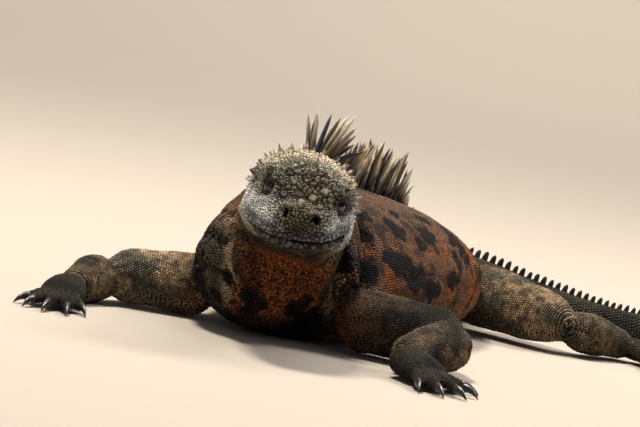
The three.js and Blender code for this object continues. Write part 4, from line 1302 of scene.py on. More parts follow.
# shields of the head: place along, left and up, size, height, pointedness
HEAD_PLATES = np.array([
    (44, -7.4, 16, 4.8, 2.1, 0.3), (38, 0.8, 21.8, 4.6, 2.3, 0.45), (43.6, 2.2, 16.6, 4.2, 1.9, 0.35),
    (46, 7.9, 14.4, 5.4, 1.9, 0.2), (49.6, 3.1, 10.6, 4.6, 1.6, 0.2), (54, -1.2, 7.2, 5.2, 2.1, 0.1),
    (51.1, -10.4, 9.3, 4.2, 0.7, 0), (49, -3.4, 11.4, 4.2, 0.7, 0), (35.8, 9.2, 23, 4, 0.9, 0),
    (39.5, -6.8, 20.6, 4.3, 1.7, 0.35), (40.6, 6.6, 19.8, 4.5, 1.8, 0.35), (46.3, -12.4, 13.4, 3.9, 1.6, 0.4),
    (48.2, 12.2, 12, 3.9, 1.5, 0.3), (32.3, 1.1, 25.9, 3.2, 3.4, 1), (52.5, 7.6, 8.2, 3.8, 1.3, 0.2),
    (41.5, -13.5, 17.6, 3.8, 1.8, 0.5), (42.5, 12.4, 17.4, 4.2, 1.9, 0.4), (34.5, -5.5, 24, 3.6, 1.5, 0.5),
    (44.5, -16.6, 15.2, 2.6, 1.3, 0.3), (46.6, -15.6, 12.3, 2.5, 1.2, 0.2), (49, -14.4, 9.4, 2.5, 1.1, 0.2),
    (47.6, 14.6, 11.8, 2.8, 1.3, 0.3), (50, 12.2, 9.4, 2.6, 1.2, 0.2), (37, 14.5, 20, 3.4, 1.7, 0.5),
    (36.5, -13, 20, 3.4, 1.7, 0.5), (38.5, -18.6, 16.6, 3, 1.6, 0.5), (38.5, 18.8, 16.4, 3, 1.6, 0.5),
])
# rows of cones over the crown, each row from temple to temple: place along the head, height, angles
CONE_ROWS = [(26, 2.4, 20, 48), (19.5, 3.8, 17, 62), (13, 4.6, 14, 90), (6.5, 4.8, 12, 90), (1, 4.4, 14, 90)]
CONE_TURN = 11
cones = []
# the place and the size of each cone differ a little
for back, tallest, first, last in CONE_ROWS:
    for turn in np.arange(first, last, CONE_TURN):
        for angle in (turn, 180 - turn):
            place = head.points(back + draw.uniform(-1.6, 1.6), angle + draw.uniform(-3, 3))
            cones.append([*in_head(place)[0], draw.uniform(2.4, 3.0), tallest * draw.uniform(0.75, 1.1), 1])
HEAD_PLATES = np.concatenate([HEAD_PLATES, cones])


def head_zones(place):
    """Shares of the head's regions at each point."""
    at, left, up = in_head(place).T
    side = np.abs(left)
    crown = smoothstep(11, 17, up + 0.15 * side) * smoothstep(29, 21, at)
    forehead = smoothstep(9, 13, up) * smoothstep(33, 38, at) * smoothstep(55, 51, at)
    temple = smoothstep(17.5, 21.5, side) * smoothstep(-1, 6, up) * smoothstep(31, 24, at)
    cheek = smoothstep(12, 17, side) * smoothstep(10, 4, up) * smoothstep(-9, -5, up) * smoothstep(22, 28, at)
    snout = smoothstep(46, 50, at) * smoothstep(6, 3, up)
    jowl = smoothstep(18, 23, side) * smoothstep(3, -3, up) * smoothstep(30, 20, at)
    mouth, over = to_line(at_mouth(at, left, up), MOUTH_LINE)
    lips = smoothstep(5.2, 3.8, mouth) * smoothstep(28, 33, at)
    eye = np.minimum(*(distance(place, one_of(EYE, sign)) for sign in (LEFT, RIGHT)))
    lids = smoothstep(9.5, 7.8, eye)
    return crown, forehead, temple, cheek, snout, jowl, lips, over, lids


def head_step(place):
    """Size of the scales at points of the head, made a little uneven by chance."""
    crown, forehead, temple, cheek, snout, jowl, lips, over, lids = head_zones(place)
    step = 1.2 + 1.35 * forehead + 0.4 * crown + 0.3 * temple - 0.1 * cheek + 0.3 * snout + 0.15 * jowl
    uneven = 0.12 + 0.3 * forehead
    step = step * (1 + uneven * draw.uniform(-1, 1, len(place)))
    step = step + (np.where(over > 0, 1.9, 2.7) - step) * lips
    return step + (0.9 - step) * lids


print("shields and cones", len(HEAD_PLATES))


# %% [markdown]
# ## Room for every scale
# Two scales never overlap at the root, and no skin stays bare. That is a packing: thin what is too
# close, throw many seeded points at the skin, and keep those that find room. On the head every root but
# the shields and cones then moves twice to the middle of the points nearest to it, which evens it out
# like cells in a honeycomb.

# %% Thin, fill and even out the roots
# how much of its step a scale claims against its neighbours, in the rows, in the gaps and on the head
ROW_ROOM, GAP_ROOM, HEAD_ROOM = 0.68, 0.8, 0.88
BODY_POINTS, HEAD_POINTS = 90000, 80000
EVENING_ROUNDS = 2

is_head = (root_owner == 0) | (in_head(root_co)[:, 0] > 1) & (in_head(root_co)[:, 2] > -24)
keep = ~is_head & ~on_floor(root_co, root_out)
root_co, root_out, root_owner = root_co[keep], root_out[keep], root_owner[keep]
step = body_step(root_co, root_out, root_owner)
keep = apart(root_co, step * ROW_ROOM)
root_co, root_out, root_owner = root_co[keep], root_out[keep], root_owner[keep]

face_at = in_head(face_centre)
head_face = (face_at[:, 0] > -3) & (face_at[:, 2] > -26 + 0.25 * face_at[:, 0])
fill_co, fill_out = random_on_skin(~head_face & ~on_floor(face_centre, face_normal), BODY_POINTS)
fill_owner = owners(fill_co)[0]
room = np.r_[body_step(root_co, root_out, root_owner), body_step(fill_co, fill_out, fill_owner)] * GAP_ROOM
keep = apart(np.concatenate([root_co, fill_co]), room)
extra = keep[keep >= len(root_co)] - len(root_co)
root_co = np.concatenate([root_co, fill_co[extra]])
root_out = np.concatenate([root_out, fill_out[extra]])
root_owner = np.concatenate([root_owner, fill_owner[extra]])
print("body roots", len(root_co), "of them added in gaps", len(extra))

plate_co = snapped(np.array([head_point(*row[:3]) for row in HEAD_PLATES]), 9)[0]
held_co = random_on_skin(head_face & (face_at[:, 0] > -1), HEAD_POINTS)[0]
both = np.concatenate([plate_co, held_co])
both_size = np.r_[HEAD_PLATES[:, 3], head_step(held_co)]
start = apart(both, both_size * HEAD_ROOM)
head_co, head_size = both[start], both_size[start]
for evening in range(EVENING_ROUNDS):
    tree = tree_of(head_co)
    holder = np.array([min(tree.find_n(p, 4), key=lambda found: found[2] / head_size[found[1]])[1]
                       for p in held_co.tolist()])
    count = np.bincount(holder, minlength=len(head_co))
    middle = np.stack([np.bincount(holder, c, len(head_co)) for c in held_co.T], 1)
    middle = middle / np.maximum(count, 1)[:, None]
    moves = (count > 0) & (np.arange(len(head_co)) >= len(plate_co))
    head_co[moves] = middle[moves]
head_co, head_out = snapped(head_co, 6)


# how far from a nostril's edge the first scale stands
HOLE_MARGIN = 0.3


def in_hole(place):
    """Roots in a nostril or in the slit between the lids, where nothing grows."""
    hole = np.zeros(len(place), bool)
    for sign in (LEFT, RIGHT):
        ahead, left, up = ((place - one_of(NOSTRIL, sign, -1.5)) @ HEAD_AXES.T).T
        wide, tall = (half + HOLE_MARGIN for half in NOSTRIL_HALF[sign])
        hole |= (np.hypot(left / wide, up / tall) < 1) & (np.abs(ahead) < 6)
        gap = (place - one_of(EYE, sign)) @ HEAD_AXES.T
        ahead, left, up = gap.T
        open_here = np.sqrt(np.clip(1 - (ahead / (SLIT_LONG + 0.4)) ** 2, 0, 1))
        slit = np.abs(up + SLIT_DOWN) < (SLIT_HIGH + 0.35) * open_here
        hole |= slit & (left * sign > 0) & (np.linalg.norm(gap, axis=1) < 8)
    return hole


free = ~in_hole(head_co)
head_co, head_out, head_size = head_co[free], head_out[free], head_size[free]
# the first roots stand for the shields and cones
is_plate = np.zeros(len(head_co), bool)
is_plate[:free[:len(plate_co)].sum()] = True
print("head roots", len(head_co))


# %% [markdown]
# ## A scale as a solid
# A marine iguana's scales lie side by side like cobbles and only lean on one another. Around its root a
# scale here reaches out until it meets its neighbours, in six or more directions, so that scales fit
# together whatever their sizes, as no copy of one scale would. Rings of those corners, one sunk into the
# skin and the others rising and drawing in, make a closed solid that leans the way the scales lie.

# %% Build scales
# the most that a scale reaches from its root, as a share of its size, and how squarely a neighbour has
# to lie in a direction to stop it there
REACH_MOST = 0.72
FACING_LEAST = 0.3


def reach_of(place, out, lie, size, corners):
    """How far each scale reaches each way before it meets its neighbours, and its own two directions."""
    tree = tree_of(place)
    beside = np.array([[found[1] for found in tree.find_n(p, 9)][1:] for p in place.tolist()])
    along = unit(lie - (lie * out).sum(1, keepdims=True) * out + 1e-6)
    across = np.cross(out, along)
    gap = place[beside] - place[:, None]
    u, v = (gap * along[:, None]).sum(2), (gap * across[:, None]).sum(2)
    far = np.hypot(u, v) + 1e-6
    share = size[:, None] / (size[:, None] + size[beside])
    reach = np.repeat(size[:, None] * REACH_MOST, corners, 1)
    for k, turn in enumerate(np.arange(corners) * 2 * math.pi / corners):
        facing = (u * math.cos(turn) + v * math.sin(turn)) / far
        limit = share * far / np.maximum(facing, FACING_LEAST)
        limit = np.where(facing > FACING_LEAST, limit, 1e9).min(1)
        reach[:, k] = np.minimum(reach[:, k], limit)
    return reach, along, across


def mesh_of(name, co, sizes, corners_of_faces, uv):
    """A mesh from arrays: places, the sizes of its faces, their corners, and a map named OFBake."""
    mesh = bpy.data.meshes.new(name)
    mesh.vertices.add(len(co))
    mesh.vertices.foreach_set("co", (co * MM).astype(np.float32).ravel())
    mesh.loops.add(len(corners_of_faces))
    mesh.loops.foreach_set("vertex_index", corners_of_faces.astype(np.int32))
    mesh.polygons.add(len(sizes))
    mesh.polygons.foreach_set("loop_start", np.r_[0, np.cumsum(sizes)[:-1]].astype(np.int32))
    mesh.update(calc_edges=True)
    layer = mesh.uv_layers.new(name="OFBake")
    layer.uv.foreach_set("vector", uv[corners_of_faces].astype(np.float32).ravel())
    piece = bpy.data.objects.new(name, mesh)
    bpy.context.collection.objects.link(piece)
    only(piece)
    bpy.ops.object.shade_smooth()
    return piece


# how deep the root ring is sunk, and the share of its reach that a scale fills
SINK = 0.45
GAP_SHARE = 0.97
# the least value that the tip attribute has on the head, so that the painted shade towards the roots doesn't
# make its scales dark all round
HEAD_EVEN = 0.22


def ring_faces(rings, corners):
    """Corners and sizes of the faces of a closed form: a root face, bands of quads and a fan to the tip."""
    k = np.arange(corners)
    after = (k + 1) % corners
    faces = [k[::-1]]
    for ring in range(rings - 1):
        faces.append((np.column_stack([k, after, after + corners, k + corners]) + ring * corners).ravel())
    top = (rings - 1) * corners
    faces.append(np.column_stack([k + top, after + top, np.full(corners, rings * corners)]).ravel())
    return np.concatenate(faces), [corners] + [4] * corners * (rings - 1) + [3] * corners


def scales(name, place, out, reach, along, across, tall, lean, rings, shade, rough=0.0, dish=0.0):
    """One joined mesh of scales. Rings are pairs of share of reach and share of height, root first.

    Rough is how uneven the heights in a ring are, and dish how far the middle of the top sinks in.
    """
    count, corners = reach.shape
    turn = np.arange(corners) * 2 * math.pi / corners
    arms = along[:, None] * np.cos(turn)[:, None] + across[:, None] * np.sin(turn)[:, None]
    arms = arms * (reach * GAP_SHARE)[:, :, None]
    rows, tips = [], []
    for out_share, high in rings:
        out_share = np.broadcast_to(out_share, (count,))
        uneven = 1 + rough * draw.uniform(-1, 1, (count, corners))
        high_here = high * tall[:, None] * uneven - SINK * (high == 0)
        lift = out[:, None] * high_here[:, :, None] + (along * (lean * high**1.5)[:, None])[:, None]
        rows.append(place[:, None] + arms * out_share[:, None, None] + lift)
        tips.append(np.full((count, corners), high))
    dish = np.broadcast_to(dish, (count,))
    apex = place + out * (tall * (1 - dish))[:, None] + along * lean[:, None]
    co = np.concatenate([np.concatenate(rows, 1), apex[:, None]], 1)
    # the dished middle of a top gets a low tip value, and so painted shade
    tips = np.concatenate([np.concatenate(tips, 1), 1 - 1.5 * dish[:, None]], 1)
    co[..., 2] = np.maximum(co[..., 2], 0)
    each = len(rings) * corners + 1
    pattern, sizes = ring_faces(len(rings), corners)
    loops = (pattern + np.arange(count)[:, None] * each).ravel()
    owner, at, angle, _ = places_of(place)
    base = chart(owner, at, angle)
    spread = np.stack([((co - place[:, None]) * arm[:, None]).sum(2) for arm in (along, across)], 2)
    spread = spread / np.maximum(np.abs(spread).max(axis=(1, 2), keepdims=True), 1e-6)
    uv = np.clip(base[:, None] + PATCH * spread, 0, 1).reshape(-1, 2)
    piece = mesh_of(name, co.reshape(-1, 3), np.tile(sizes, count), loops, uv)
    colour = marking(place, owner, at, angle) * shade[:, None]
    if name.startswith("scales_head"):
        tips = HEAD_EVEN + (1 - HEAD_EVEN) * tips
    paint(piece.data, np.repeat(colour, each, 0), tips.ravel())
    return piece


def lie_of(place):
    """The way the scales point: back over head, neck, trunk and tail, and out towards the paws."""
    owner, _, _, way = places_of(place)
    ahead = np.where(owner <= index_of["neck"], -1, 1)
    return way * ahead[:, None]


print("faces of a grain", len(ring_faces(2, 6)[1]), "and of a shield", len(ring_faces(4, 8)[1]))


# %% [markdown]
# ## Scales of the body
# The coat of neck, trunk, tail and limbs is low and even, and each scale is a little lighter or darker
# than the next. It is made in pieces small enough to handle, cut across the body where no eye looks for
# a join, because every scale is a closed solid of its own.

# %% Body scales
coat = []
# how much single scales differ in shade, and height and lean as shares of their size
SHADE_SPREAD = 0.24
LOWEST, TALL_SPREAD, LEAN = 0.36, 0.08, 0.22
FINE_RINGS = [(1, 0), (0.78, 0.62)]
MOST_SCALES = 8200


def coat_piece(name, slot, *arguments):
    """Scales as a piece of the coat. The material slot is not used."""
    piece = scales(name, *arguments)
    coat.append(piece)


size = body_step(root_co, root_out, root_owner)
reach, along, across = reach_of(root_co, root_out, lie_of(root_co), size, 6)
shade = 1 + SHADE_SPREAD * draw.standard_normal(len(root_co)).clip(-2, 2)
tall = size * (LOWEST + TALL_SPREAD * draw.random(len(root_co)))
lean = size * LEAN
groups = {"neck": ["neck", "head"], "trunk": ["trunk"], "tail": ["tail"]}
groups.update({name: [flesh.name for flesh in limb] for name, limb in limbs.items()})
slots = {"neck": "body_skin", "trunk": "body_skin", "tail": "tail_skin"}
for name, members in groups.items():
    mine = np.flatnonzero(region(root_owner, members))
    mine = mine[np.argsort(root_co[mine, 1] if name != "tail" else root_co[mine, 0])]
    for number, part in enumerate(np.array_split(mine, math.ceil(len(mine) / MOST_SCALES))):
        coat_piece(f"scales_{name}_{number + 1}", slots.get(name, "limb_skin"), root_co[part], root_out[part],
                   reach[part], along[part], across[part], tall[part], lean[part], FINE_RINGS, shade[part])
print("body scales in", len(coat), "pieces,", sum(len(p.data.polygons) for p in coat), "faces")


# %% [markdown]
# ## Scales of the head
# No two regions of the head are alike. Tall pointed cones crowd the crown and its rim, knobbly shields
# cover the forehead and the bridge of the nose, small grains lie round nostrils and lids, and larger
# plates line the lips. They come from the same solid with other rings: eight corners, rough rings and
# flat facets give worn shields, and six corners in two rings are enough for grains.

# %% Head scales
def head_forms(place, size):
    """Height and pointedness of each head scale."""
    crown, forehead, temple, cheek, snout, jowl, lips, over, lids = head_zones(place)
    chance = draw.random(len(place))
    tall = size * 0.4 + forehead * (0.2 + 0.7 * chance) - 0.1 * cheek - 0.15 * lips
    tall = tall + crown * (0.2 + 1.1 * chance**2) + temple * (0.2 + 0.9 * chance)
    tall = tall + jowl * (0.1 + 0.6 * chance)
    point = 0.25 + 0.15 * forehead - 0.15 * lips
    point = np.maximum(point, np.maximum(crown, 0.85 * temple) * (0.65 + 0.35 * draw.random(len(place))))
    point = np.maximum(point, 0.6 * jowl)
    return tall, point


# a scale of the head is a shield from this size or pointedness on, and else a grain
SHIELD_SIZE, SHIELD_POINT = 1.75, 0.6
GRAIN_RINGS = [(1, 0), (0.85, 0.66)]

tall, point = head_forms(head_co, head_size)
plates = np.flatnonzero(is_plate)
tall[plates], point[plates] = HEAD_PLATES[:len(plates), 4], HEAD_PLATES[:len(plates), 5]
# head scales also lean out from the middle of the skull
lie = lie_of(head_co) + 0.8 * (head_co - head_point(24, 0, 0)) / 30
cheek = head_zones(head_co)[3]
shade = 1 + SHADE_SPREAD * draw.standard_normal(len(head_co)).clip(-1.6, 1.2)
shade = 1 + (shade - 1) * (1 - 0.5 * cheek)
shade[plates] = draw.uniform(0.74, 1.06, len(plates))
large = (head_size > SHIELD_SIZE) | (point > SHIELD_POINT)
slim = point[large]
shield_rings = [(1, 0), (0.98 - 0.3 * slim, 0.5), (0.88 - 0.5 * slim, 0.88), (0.6 - 0.42 * slim, 1)]
hollow_top = 0.3 * smoothstep(0.6, 0.3, slim) * draw.uniform(0.2, 1.2, large.sum())
for name, mine, corners, rings, rough, dish in [
    ("scales_head_shields", large, 8, shield_rings, 0.26, hollow_top),
    ("scales_head_grains", ~large, 6, GRAIN_RINGS, 0.2, 0.0),
]:
    reach, along, across = reach_of(head_co, head_out, lie, head_size, corners)
    uneven = (0.16 + 0.12 * (head_size[mine] > 2.4))[:, None]
    reach = reach[mine] * (1 + uneven * draw.uniform(-1, 0.4, (mine.sum(), corners)))
    coat_piece(name, "head_skin", head_co[mine], head_out[mine], reach, along[mine], across[mine], tall[mine],
               (0.1 + 0.35 * point[mine]) * tall[mine], rings, shade[mine], rough, dish)
only(coat[-2])
bpy.ops.object.shade_flat()
print("head scales", len(head_co), "faces", len(coat[-1].data.polygons))

# %% [markdown]
# ## Crest spines
# A crest spine is a flat horn blade with a rounded tip that bends a little along its length. They stand
# close together on the midline: a sheaf of long ones on the nape, long ones again over the shoulders
# that get shorter towards the hips, and a low saw edge along the tail. Those of the nape show one by one
# in the photo and are placed one by one, and the others follow each other along the back by chance.

# %% Build the spines
SPINE_SIDES = 8
SPINE_RINGS = 8
SPINE_SINK = 1.6
SPINE_FACES, SPINE_SIZES = ring_faces(SPINE_RINGS, SPINE_SIDES)
spines_made = []


def add_spine(seat, out, ahead, tall, broad, thin, lean, curl, colour, tip_colour):
    """One spine. Lean is in degrees to the side, curl in degrees backwards at the tip."""
    side = unit(np.cross(out, ahead))
    steps = np.linspace(0, 1, SPINE_RINGS)
    centre = seat - out * SPINE_SINK
    rings = []
    turn = np.arange(SPINE_SIDES) * 2 * math.pi / SPINE_SIDES
    for i, h in enumerate(steps):
        tilt, bend = math.radians(lean * (0.65 + 0.35 * h)), math.radians(curl * h)
        way = unit(out * math.cos(tilt) * math.cos(bend) + side * math.sin(tilt) - ahead * math.sin(bend))
        if i:
            centre = centre + way * (tall + SPINE_SINK) / (SPINE_RINGS - 1)
        wide = (1 - 0.42 * h) * math.sqrt(max(1 - h**8, 0.02))
        flat = unit(ahead - way * (ahead @ way))
        edge = np.cross(way, flat)
        ridge = 1 + 0.12 * np.cos(turn * 4 + 0.7)
        rings.append(centre + flat * (np.cos(turn) * broad * wide * ridge)[:, None]
                     + edge * (np.sin(turn) * thin * wide)[:, None])
    co = np.concatenate([*rings, [centre + way * 0.25]])
    high = np.r_[np.repeat(steps, SPINE_SIDES), 1]
    streak = np.r_[np.tile(draw.random(SPINE_SIDES), SPINE_RINGS), 0.5]
    # a spine goes from its root colour to its tip colour; on the back, the dark roots are painted shade at
    # the crowded base of the crest
    shade = mix(colour, tip_colour, smoothstep(0.2, 0.85, high))
    shade = mix(shade, INK * 0.8, 0.75 * smoothstep(0.5, 0.8, streak) * (1 - 0.4 * high))
    owner, at, angle, _ = places_of(seat[None])
    start = chart(owner, at, angle)[0]
    around = np.r_[np.tile(np.cos(turn), SPINE_RINGS), 0]
    uv = np.clip(start + PATCH * np.column_stack([around, high * 2 - 1]), 0, 1)
    spines_made.append((co, SPINE_SIZES, SPINE_FACES + len(spines_made) * len(co), uv, shade, 0.5 * high))


def seat_on(flesh, at, off=0.0):
    """A seat on the back line of a stretch: its place on the skin, its normal and the way ahead."""
    _, ahead, side, top = (a[0] for a in flesh.frame(at))
    line = flesh.points(at, 90)[0] + side * off
    found = skin_bvh.ray_cast(Vector(line + top * 6), Vector(-top), 14)
    place = np.array(found[0]) if found[0] else line
    return place, unit(top + 0.2 * UP), ahead


HORN = hue(112, 88, 60)
AMBER = hue(178, 142, 92)
HORN_TIP = hue(222, 208, 182)
HORN_DARK = hue(30, 24, 20)
HORN_BLUE = hue(56, 62, 74)

# nape: place back from the head along the neck, to the side, height, lean, curl, root and tip colour
NAPE = [
    (9, -0.8, 25, -15, 2, HORN, HORN_TIP), (6.5, 0.8, 24, -10, 3, HORN_DARK, HORN),
    (4, -0.4, 25, -6, 2, HORN, HORN_TIP), (12, 1, 21, -8, 6, HORN_DARK, HORN_BLUE),
    (1, 0.6, 24.5, 8, 3, HORN_BLUE, HORN_BLUE * 1.25), (2.5, 2.4, 20, 13, 5, HORN_DARK, HORN),
    (-1, 2, 24, 17, 4, HORN_DARK, HORN), (-2.5, 3, 28, 22, 2, HORN, HORN_TIP),
    (-3.5, 4.6, 28.5, 25, 2, HORN, HORN_TIP), (0.5, 4.4, 25, 27, 4, HORN_DARK, HORN_TIP),
    (-3, 6, 24, 31, 3, HORN, HORN_TIP), (-0.5, 6.6, 21, 36, 4, HORN_DARK, HORN),
    (1.5, 6.4, 18, 46, 4, HORN_BLUE, HORN_DARK), (-3.5, 7.6, 19, 62, 2, HORN_BLUE * 0.7, HORN_DARK * 0.6),
    (15.5, 0.4, 16, 6, 8, HORN_DARK, HORN), (19, -0.6, 14.5, 4, 8, HORN_DARK, HORN_TIP),
    (22.5, 0.5, 13.5, 8, 8, HORN_DARK, HORN), (26, -0.4, 12, 3, 8, HORN, HORN_TIP),
    (29.5, 0.4, 11, 5, 8, HORN_DARK, HORN), (33, 0, 10.5, 7, 8, HORN_DARK, HORN),
    (36.5, 0.3, 9.5, 3, 8, HORN_DARK, HORN_TIP),
]
# back and tail: pairs of place and height, and for the back which share of the spines has which colours at
# root and tip; the dark roots on the back are painted shade at the crowded base of the crest
CREST_TALL = [(0, 8), (30, 13), (50, 20), (65, 25), (80, 27), (126, 29), (138, 23), (148, 13), (158, 8),
              (200, 7), (242, 6)]
TAIL_TALL = [(0, 6.5), (60, 5), (200, 3.6), (TAIL_LENGTH, 1.4)]
CREST_COLOURS = [(0.48, HORN_DARK, HORN), (0.72, HORN_DARK, HORN_TIP), (0.9, HORN_DARK, AMBER),
                 (1, HORN_DARK * 0.7, HORN_BLUE)]
# how far seats stray to the side and spines lean by chance, and the height that has smaller ones beside it
CREST_STRAY, CREST_LEAN = 1.9, 10
SECOND_ROW_OVER = 12

for back, off, tall, lean, curl, low, high in NAPE:
    place, out, ahead = seat_on(neck, NECK_LENGTH - back, off)
    add_spine(place, out, ahead, tall, 2.3, 1.6, lean, curl, low, high)
nape_spines = len(spines_made)

at = 0.0
while at < trunk.length:
    tall = np.interp(at, *zip(*CREST_TALL)) * draw.uniform(0.86, 1.08)
    place, out, ahead = seat_on(trunk, at, draw.uniform(-CREST_STRAY, CREST_STRAY))
    pick = draw.random()
    low, high = next((low, high) for limit, low, high in CREST_COLOURS if pick < limit)
    add_spine(place, out, -ahead, tall, 1.0 + 0.05 * tall, 0.6 + 0.032 * tall,
              np.interp(at, [60, 120], [14, 3]) + draw.normal(0, CREST_LEAN), draw.uniform(-6, 14),
              low, high)
    if tall > SECOND_ROW_OVER:
        place, out, ahead = seat_on(trunk, at + draw.uniform(0.4, 1.4),
                                    draw.choice([-3, 3]) + draw.normal(0, 0.4))
        add_spine(place, out, -ahead, tall * draw.uniform(0.45, 0.8), 1.3, 0.8, draw.normal(8, 13),
                  draw.uniform(-8, 16), HORN_DARK, HORN if pick < 0.6 else HORN_TIP)
    at += 1.1 + 0.036 * tall
at = 4.0
while at < TAIL_LENGTH - 10:
    tall = np.interp(at, *zip(*TAIL_TALL)) * draw.uniform(0.85, 1.1)
    place, out, ahead = seat_on(tail, at)
    add_spine(place, out, -ahead, tall, 0.8 + 0.2 * tall, 0.35 + 0.09 * tall, draw.normal(0, 4), 24,
              INK, HORN_DARK)
    at += 2.4 + 0.42 * tall
*shapes, colours, tips = map(np.concatenate, zip(*spines_made))
spines = mesh_of("crest_spines", *shapes)
paint(spines.data, colours, tips)
coat.append(spines)
print("spines: nape", nape_spines, "in all", len(spines_made))

# %% [markdown]
# ## Eyes
# Each eye is a ball set between the lids, with a cornea that bulges a little, a brown iris and a round
# pupil. A museum buys such eyes in glass. Here a sphere with its pole turned to the front is enough,
# because rings round the pole give cornea, iris and pupil their edges.

# %% Eyes
EYE_IN_LIDS = 0.25
IRIS_RIM, IRIS, PUPIL = hue(20, 14, 11), hue(74, 48, 26), hue(6, 5, 5)
eyes = []
for sign, side_name in ((LEFT, "left"), (RIGHT, "right")):
    look = unit(np.array([0.42, sign * 0.9, -0.02]) @ HEAD_AXES)
    eye, ball = unit_sphere(32, 20)
    eye.name = eye.data.name = f"eyeball_{side_name}"
    turn = np.array(Vector((0, 0, 1)).rotation_difference(Vector(look)).to_matrix())
    front = ball[:, 2]
    ball = ball * (1 + 0.05 * smoothstep(0.72, 1.0, front))[:, None] * (EYE_RADIUS - EYE_IN_LIDS)
    move_vertices(eye, one_of(EYE, sign) + ball @ turn.T)
    bpy.ops.object.shade_smooth()
    iris = mix(IRIS_RIM, IRIS, smoothstep(0.62, 0.72, front))
    iris = mix(iris, PUPIL, smoothstep(0.915, 0.935, front))
    paint(eye.data, iris, 0 * front)
    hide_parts(f"eye_{side_name}")
    eyes.append(eye)
print("eyes", [e.name for e in eyes])

# %% [markdown]
# ## Claws
# A claw is a curved cone, taller than wide, that leaves the last scales of a finger and hooks down to
# the floor. The animal holds on to wet rock with them. A sphere whose rings are laid along a curve and
# shrink to its end makes one closed horn, so no tip has to be capped.

# %% Claws
FINGER_CLAW = 9
TOE_CLAW = 11
CLAW_RINGS = 12
CLAW_SIDES = 14
CLAW_IN_DIGIT = 2.6
CLAW_WIDE, CLAW_TALL = 1.9, 1.35
CLAW_TIP_Z, CLAW_ARCH = 0.3, 3.2
CLAW_ROOT, CLAW_TIP = hue(52, 46, 48), hue(24, 20, 22)
claws = []
for name, limb in limbs.items():
    kind, side_name = ("hand" if "arm" in name else "foot"), name.split("_")[1]
    long = FINGER_CLAW if kind == "hand" else TOE_CLAW
    for number, digit in enumerate(limb[3:]):
        centre, ahead, side, _ = (a[0] for a in digit.frame(digit.length))
        root = centre - ahead * CLAW_IN_DIGIT
        tip = centre + unit(ahead * [1, 1, 0]) * (long - 1)
        tip[2] = CLAW_TIP_Z
        middle = (root + tip) / 2 + UP * CLAW_ARCH
        path = bezier(root, middle, tip, steps=CLAW_RINGS)
        piece, co = unit_sphere(CLAW_SIDES, CLAW_RINGS)
        ring = np.arccos(np.clip(co[:, 2], -1, 1)) / math.pi
        i = np.rint(ring * CLAW_RINGS).astype(int)
        wide = CLAW_WIDE * (1 - ring) ** 0.7 * np.clip(ring * CLAW_RINGS, 0, 1)
        turn = np.arctan2(co[:, 1], co[:, 0])
        way = unit(np.gradient(path, axis=0))[i]
        top = unit(np.cross(way, side))
        top = top * np.sign(top[:, 2:])
        across, high = np.cos(turn) * wide, np.sin(turn) * wide * CLAW_TALL
        co = path[i] + side * across[:, None] + top * high[:, None]
        co[:, 2] = np.maximum(co[:, 2], 0.02)
        move_vertices(piece, co)
        face_outwards(piece)
        bpy.ops.object.shade_smooth()
        piece.name = piece.data.name = f"claw_horn_{kind}_{side_name}_{number + 1}"
        paint(piece.data, mix(CLAW_ROOT, CLAW_TIP, ring), 0 * ring)
        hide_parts(f"claw_{kind}_{side_name}_{number + 1}")
        claws.append(piece)
print("claws", len(claws))

# %% [markdown]
# ## Materials
# Skin and scales are dry and matt, horn is smoother, claws and eyes shine. One recipe does for all: the
# painted colour, broken up by fine noise as grime does, with a painted highlight towards the tips of the
# scales and painted shade towards their roots. Noise on Object coordinates needs no unwrap and is as
# fine on every piece.

# %% Materials
def painted(name, roughness, highlight_and_shade_gain, grain, grain_size, bump_depth, specular):
    """A material that shows the painted colour, broken up by noise on Object coordinates."""
    material = bpy.data.materials.new(name)
    material.use_nodes = True
    nodes, links = material.node_tree.nodes, material.node_tree.links
    shader = nodes["Principled BSDF"]
    shader.inputs["Roughness"].default_value = roughness
    shader.inputs["Specular IOR Level"].default_value = specular

    def add(kind, **constants):
        """A new node with these constants in its sockets."""
        node = nodes.new(f"ShaderNode{kind}")
        for socket, value in constants.items():
            node.inputs[socket.replace("_", " ")].default_value = value
        return node

    colour, tip, place = add("Attribute"), add("Attribute"), add("TexCoord")
    colour.attribute_name = "marking"
    tip.attribute_name = "tip"
    fine = add("TexNoise", Scale=grain_size, Detail=3)
    spread = add("MapRange", From_Min=0.3, From_Max=0.7, To_Min=1 - grain, To_Max=1 + grain)
    # painted highlight towards the tips of the scales and painted shade towards their roots, from the tip
    # attribute
    tip_light_and_shade = add("MapRange", To_Min=1 - highlight_and_shade_gain, To_Max=1 + highlight_and_shade_gain)
    gain = add("Math")
    gain.operation = "MULTIPLY"
    scale = add("VectorMath")
    scale.operation = "SCALE"
    bumps = add("Bump", Strength=0.5, Distance=bump_depth * MM)
    for output, socket in [
        (place.outputs["Object"], fine.inputs["Vector"]),
        (fine.outputs["Fac"], spread.inputs["Value"]),
        (tip.outputs["Fac"], tip_light_and_shade.inputs["Value"]),
        (spread.outputs["Result"], gain.inputs[0]),
        (tip_light_and_shade.outputs["Result"], gain.inputs[1]),
        (colour.outputs["Color"], scale.inputs[0]),
        (gain.outputs["Value"], scale.inputs["Scale"]),
        (scale.outputs["Vector"], shader.inputs["Base Color"]),
        (fine.outputs["Fac"], bumps.inputs["Height"]),
        (bumps.outputs["Normal"], shader.inputs["Normal"]),
    ]:
        links.new(output, socket)
    return material


